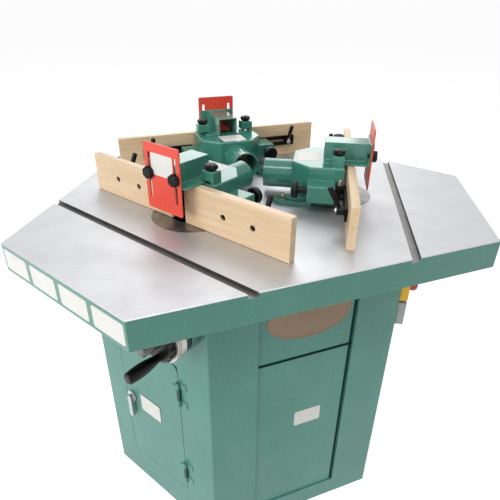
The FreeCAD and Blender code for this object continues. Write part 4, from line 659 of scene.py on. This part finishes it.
# Plain pale floor: it keeps the shadow, and shows the camera and mirrors a white a little above its own.
FLOOR_HALF = 200.0
FLOOR_CORNERS = ((-1, -1, 0), (1, -1, 0), (1, 1, 0), (-1, 1, 0))
FLOOR_LIFT = 0.60
MOTTLE_MM = 400
floor_mesh = bpy.data.meshes.new("studio_floor")
floor_mesh.from_pydata(np.array(FLOOR_CORNERS) * FLOOR_HALF, [], [(0, 1, 2, 3)])
floor = bpy.data.objects.new("studio_floor", floor_mesh)
bpy.context.scene.collection.objects.link(floor)
# Matt paper: an even pale grey with hardly any mottle.
floor_paper, tree, place = begin("matt_white_paper")
lift = add(tree, "Math", {0: seen_directly(tree), 1: FLOOR_LIFT}, operation="MULTIPLY").outputs["Value"]
mottle = add(tree, "TexNoise", {"Vector": place, "Scale": per(MOTTLE_MM)}).outputs["Fac"]
paper = add(tree, "Mix", {MIX_BY: mottle, MIX_FROM: linear("e6e6e6"), MIX_TO: linear("ebebeb")},
            data_type="RGBA")
matt = add(tree, "BsdfDiffuse", {"Color": paper.outputs[MIX_OUT]})
glow = add(tree, "Emission", {"Color": WHITE, "Strength": lift})
both = add(tree, "AddShader", {0: matt.outputs["BSDF"], 1: glow.outputs["Emission"]})
add(tree, "OutputMaterial", {"Surface": both.outputs["Shader"]})
floor_mesh.materials.append(floor_paper)

# Studio: an even pale room that the camera and mirrors see as white.
ROOM_LIGHT = 0.46
world = bpy.data.worlds.new("studio_room")
bpy.context.scene.world = world
world.use_nodes = True
tree = world.node_tree
tree.nodes.clear()
strength = add(tree, "MapRange", {"Value": seen_directly(tree), "To Min": ROOM_LIGHT, "To Max": 1.0})
room = add(tree, "Background", {"Color": WHITE, "Strength": strength.outputs["Result"]})
add(tree, "OutputWorld", {"Surface": room.outputs["Background"]})


def soft_box(name, place, aim, width, height, power):
    """A studio light of some width and height at a place, turned to its aim."""
    lamp = bpy.data.lights.new(name, "AREA")
    lamp.shape = "RECTANGLE"
    lamp.size = width
    lamp.size_y = height
    lamp.energy = power
    made = bpy.data.objects.new(name, lamp)
    made.location = place
    made.rotation_euler = (Vector(aim) - Vector(place)).to_track_quat("-Z", "Y").to_euler()
    bpy.context.scene.collection.objects.link(made)


soft_box("left_soft_box", place=(-4.0, -1.6, 2.2), aim=(0, 0, 0.8), width=2.5, height=2.5, power=112)
soft_box("top_soft_box", place=(-0.5, -1.5, 3.9), aim=(0, 0, 0.9), width=2.8, height=0.6, power=50)
soft_box("rear_soft_box", place=(1.2, 3.4, 3.2), aim=(0, 0, 0.9), width=2.8, height=3.0, power=66)

# Camera at the photograph's viewing place, solved from the table's corners: metres, degrees and,
# for lens and sensor, millimetres.
CAMERA_PLACE = (-0.4354, -1.1084, 1.3548)
YAW, PITCH, ROLL = np.radians((21.445, 29.262, 0.649))
LENS = 32.84
SENSOR = 36.0
forward = np.array((math.sin(YAW) * math.cos(PITCH), math.cos(YAW) * math.cos(PITCH), -math.sin(PITCH)))
level = np.array((math.cos(YAW), -math.sin(YAW), 0.0))
upright = np.cross(level, forward)
right = math.cos(ROLL) * level + math.sin(ROLL) * upright
up = math.cos(ROLL) * upright - math.sin(ROLL) * level
camera_data = bpy.data.cameras.new("studio_camera")
camera_data.lens = LENS
camera_data.sensor_width = SENSOR
camera = bpy.data.objects.new("studio_camera", camera_data)
turn = Matrix(np.array([right, up, -forward]).T.tolist()).to_4x4()
camera.matrix_world = Matrix.Translation(CAMERA_PLACE) @ turn
bpy.context.scene.collection.objects.link(camera)
bpy.context.scene.camera = camera
bpy.context.scene.view_settings.view_transform = "Standard"
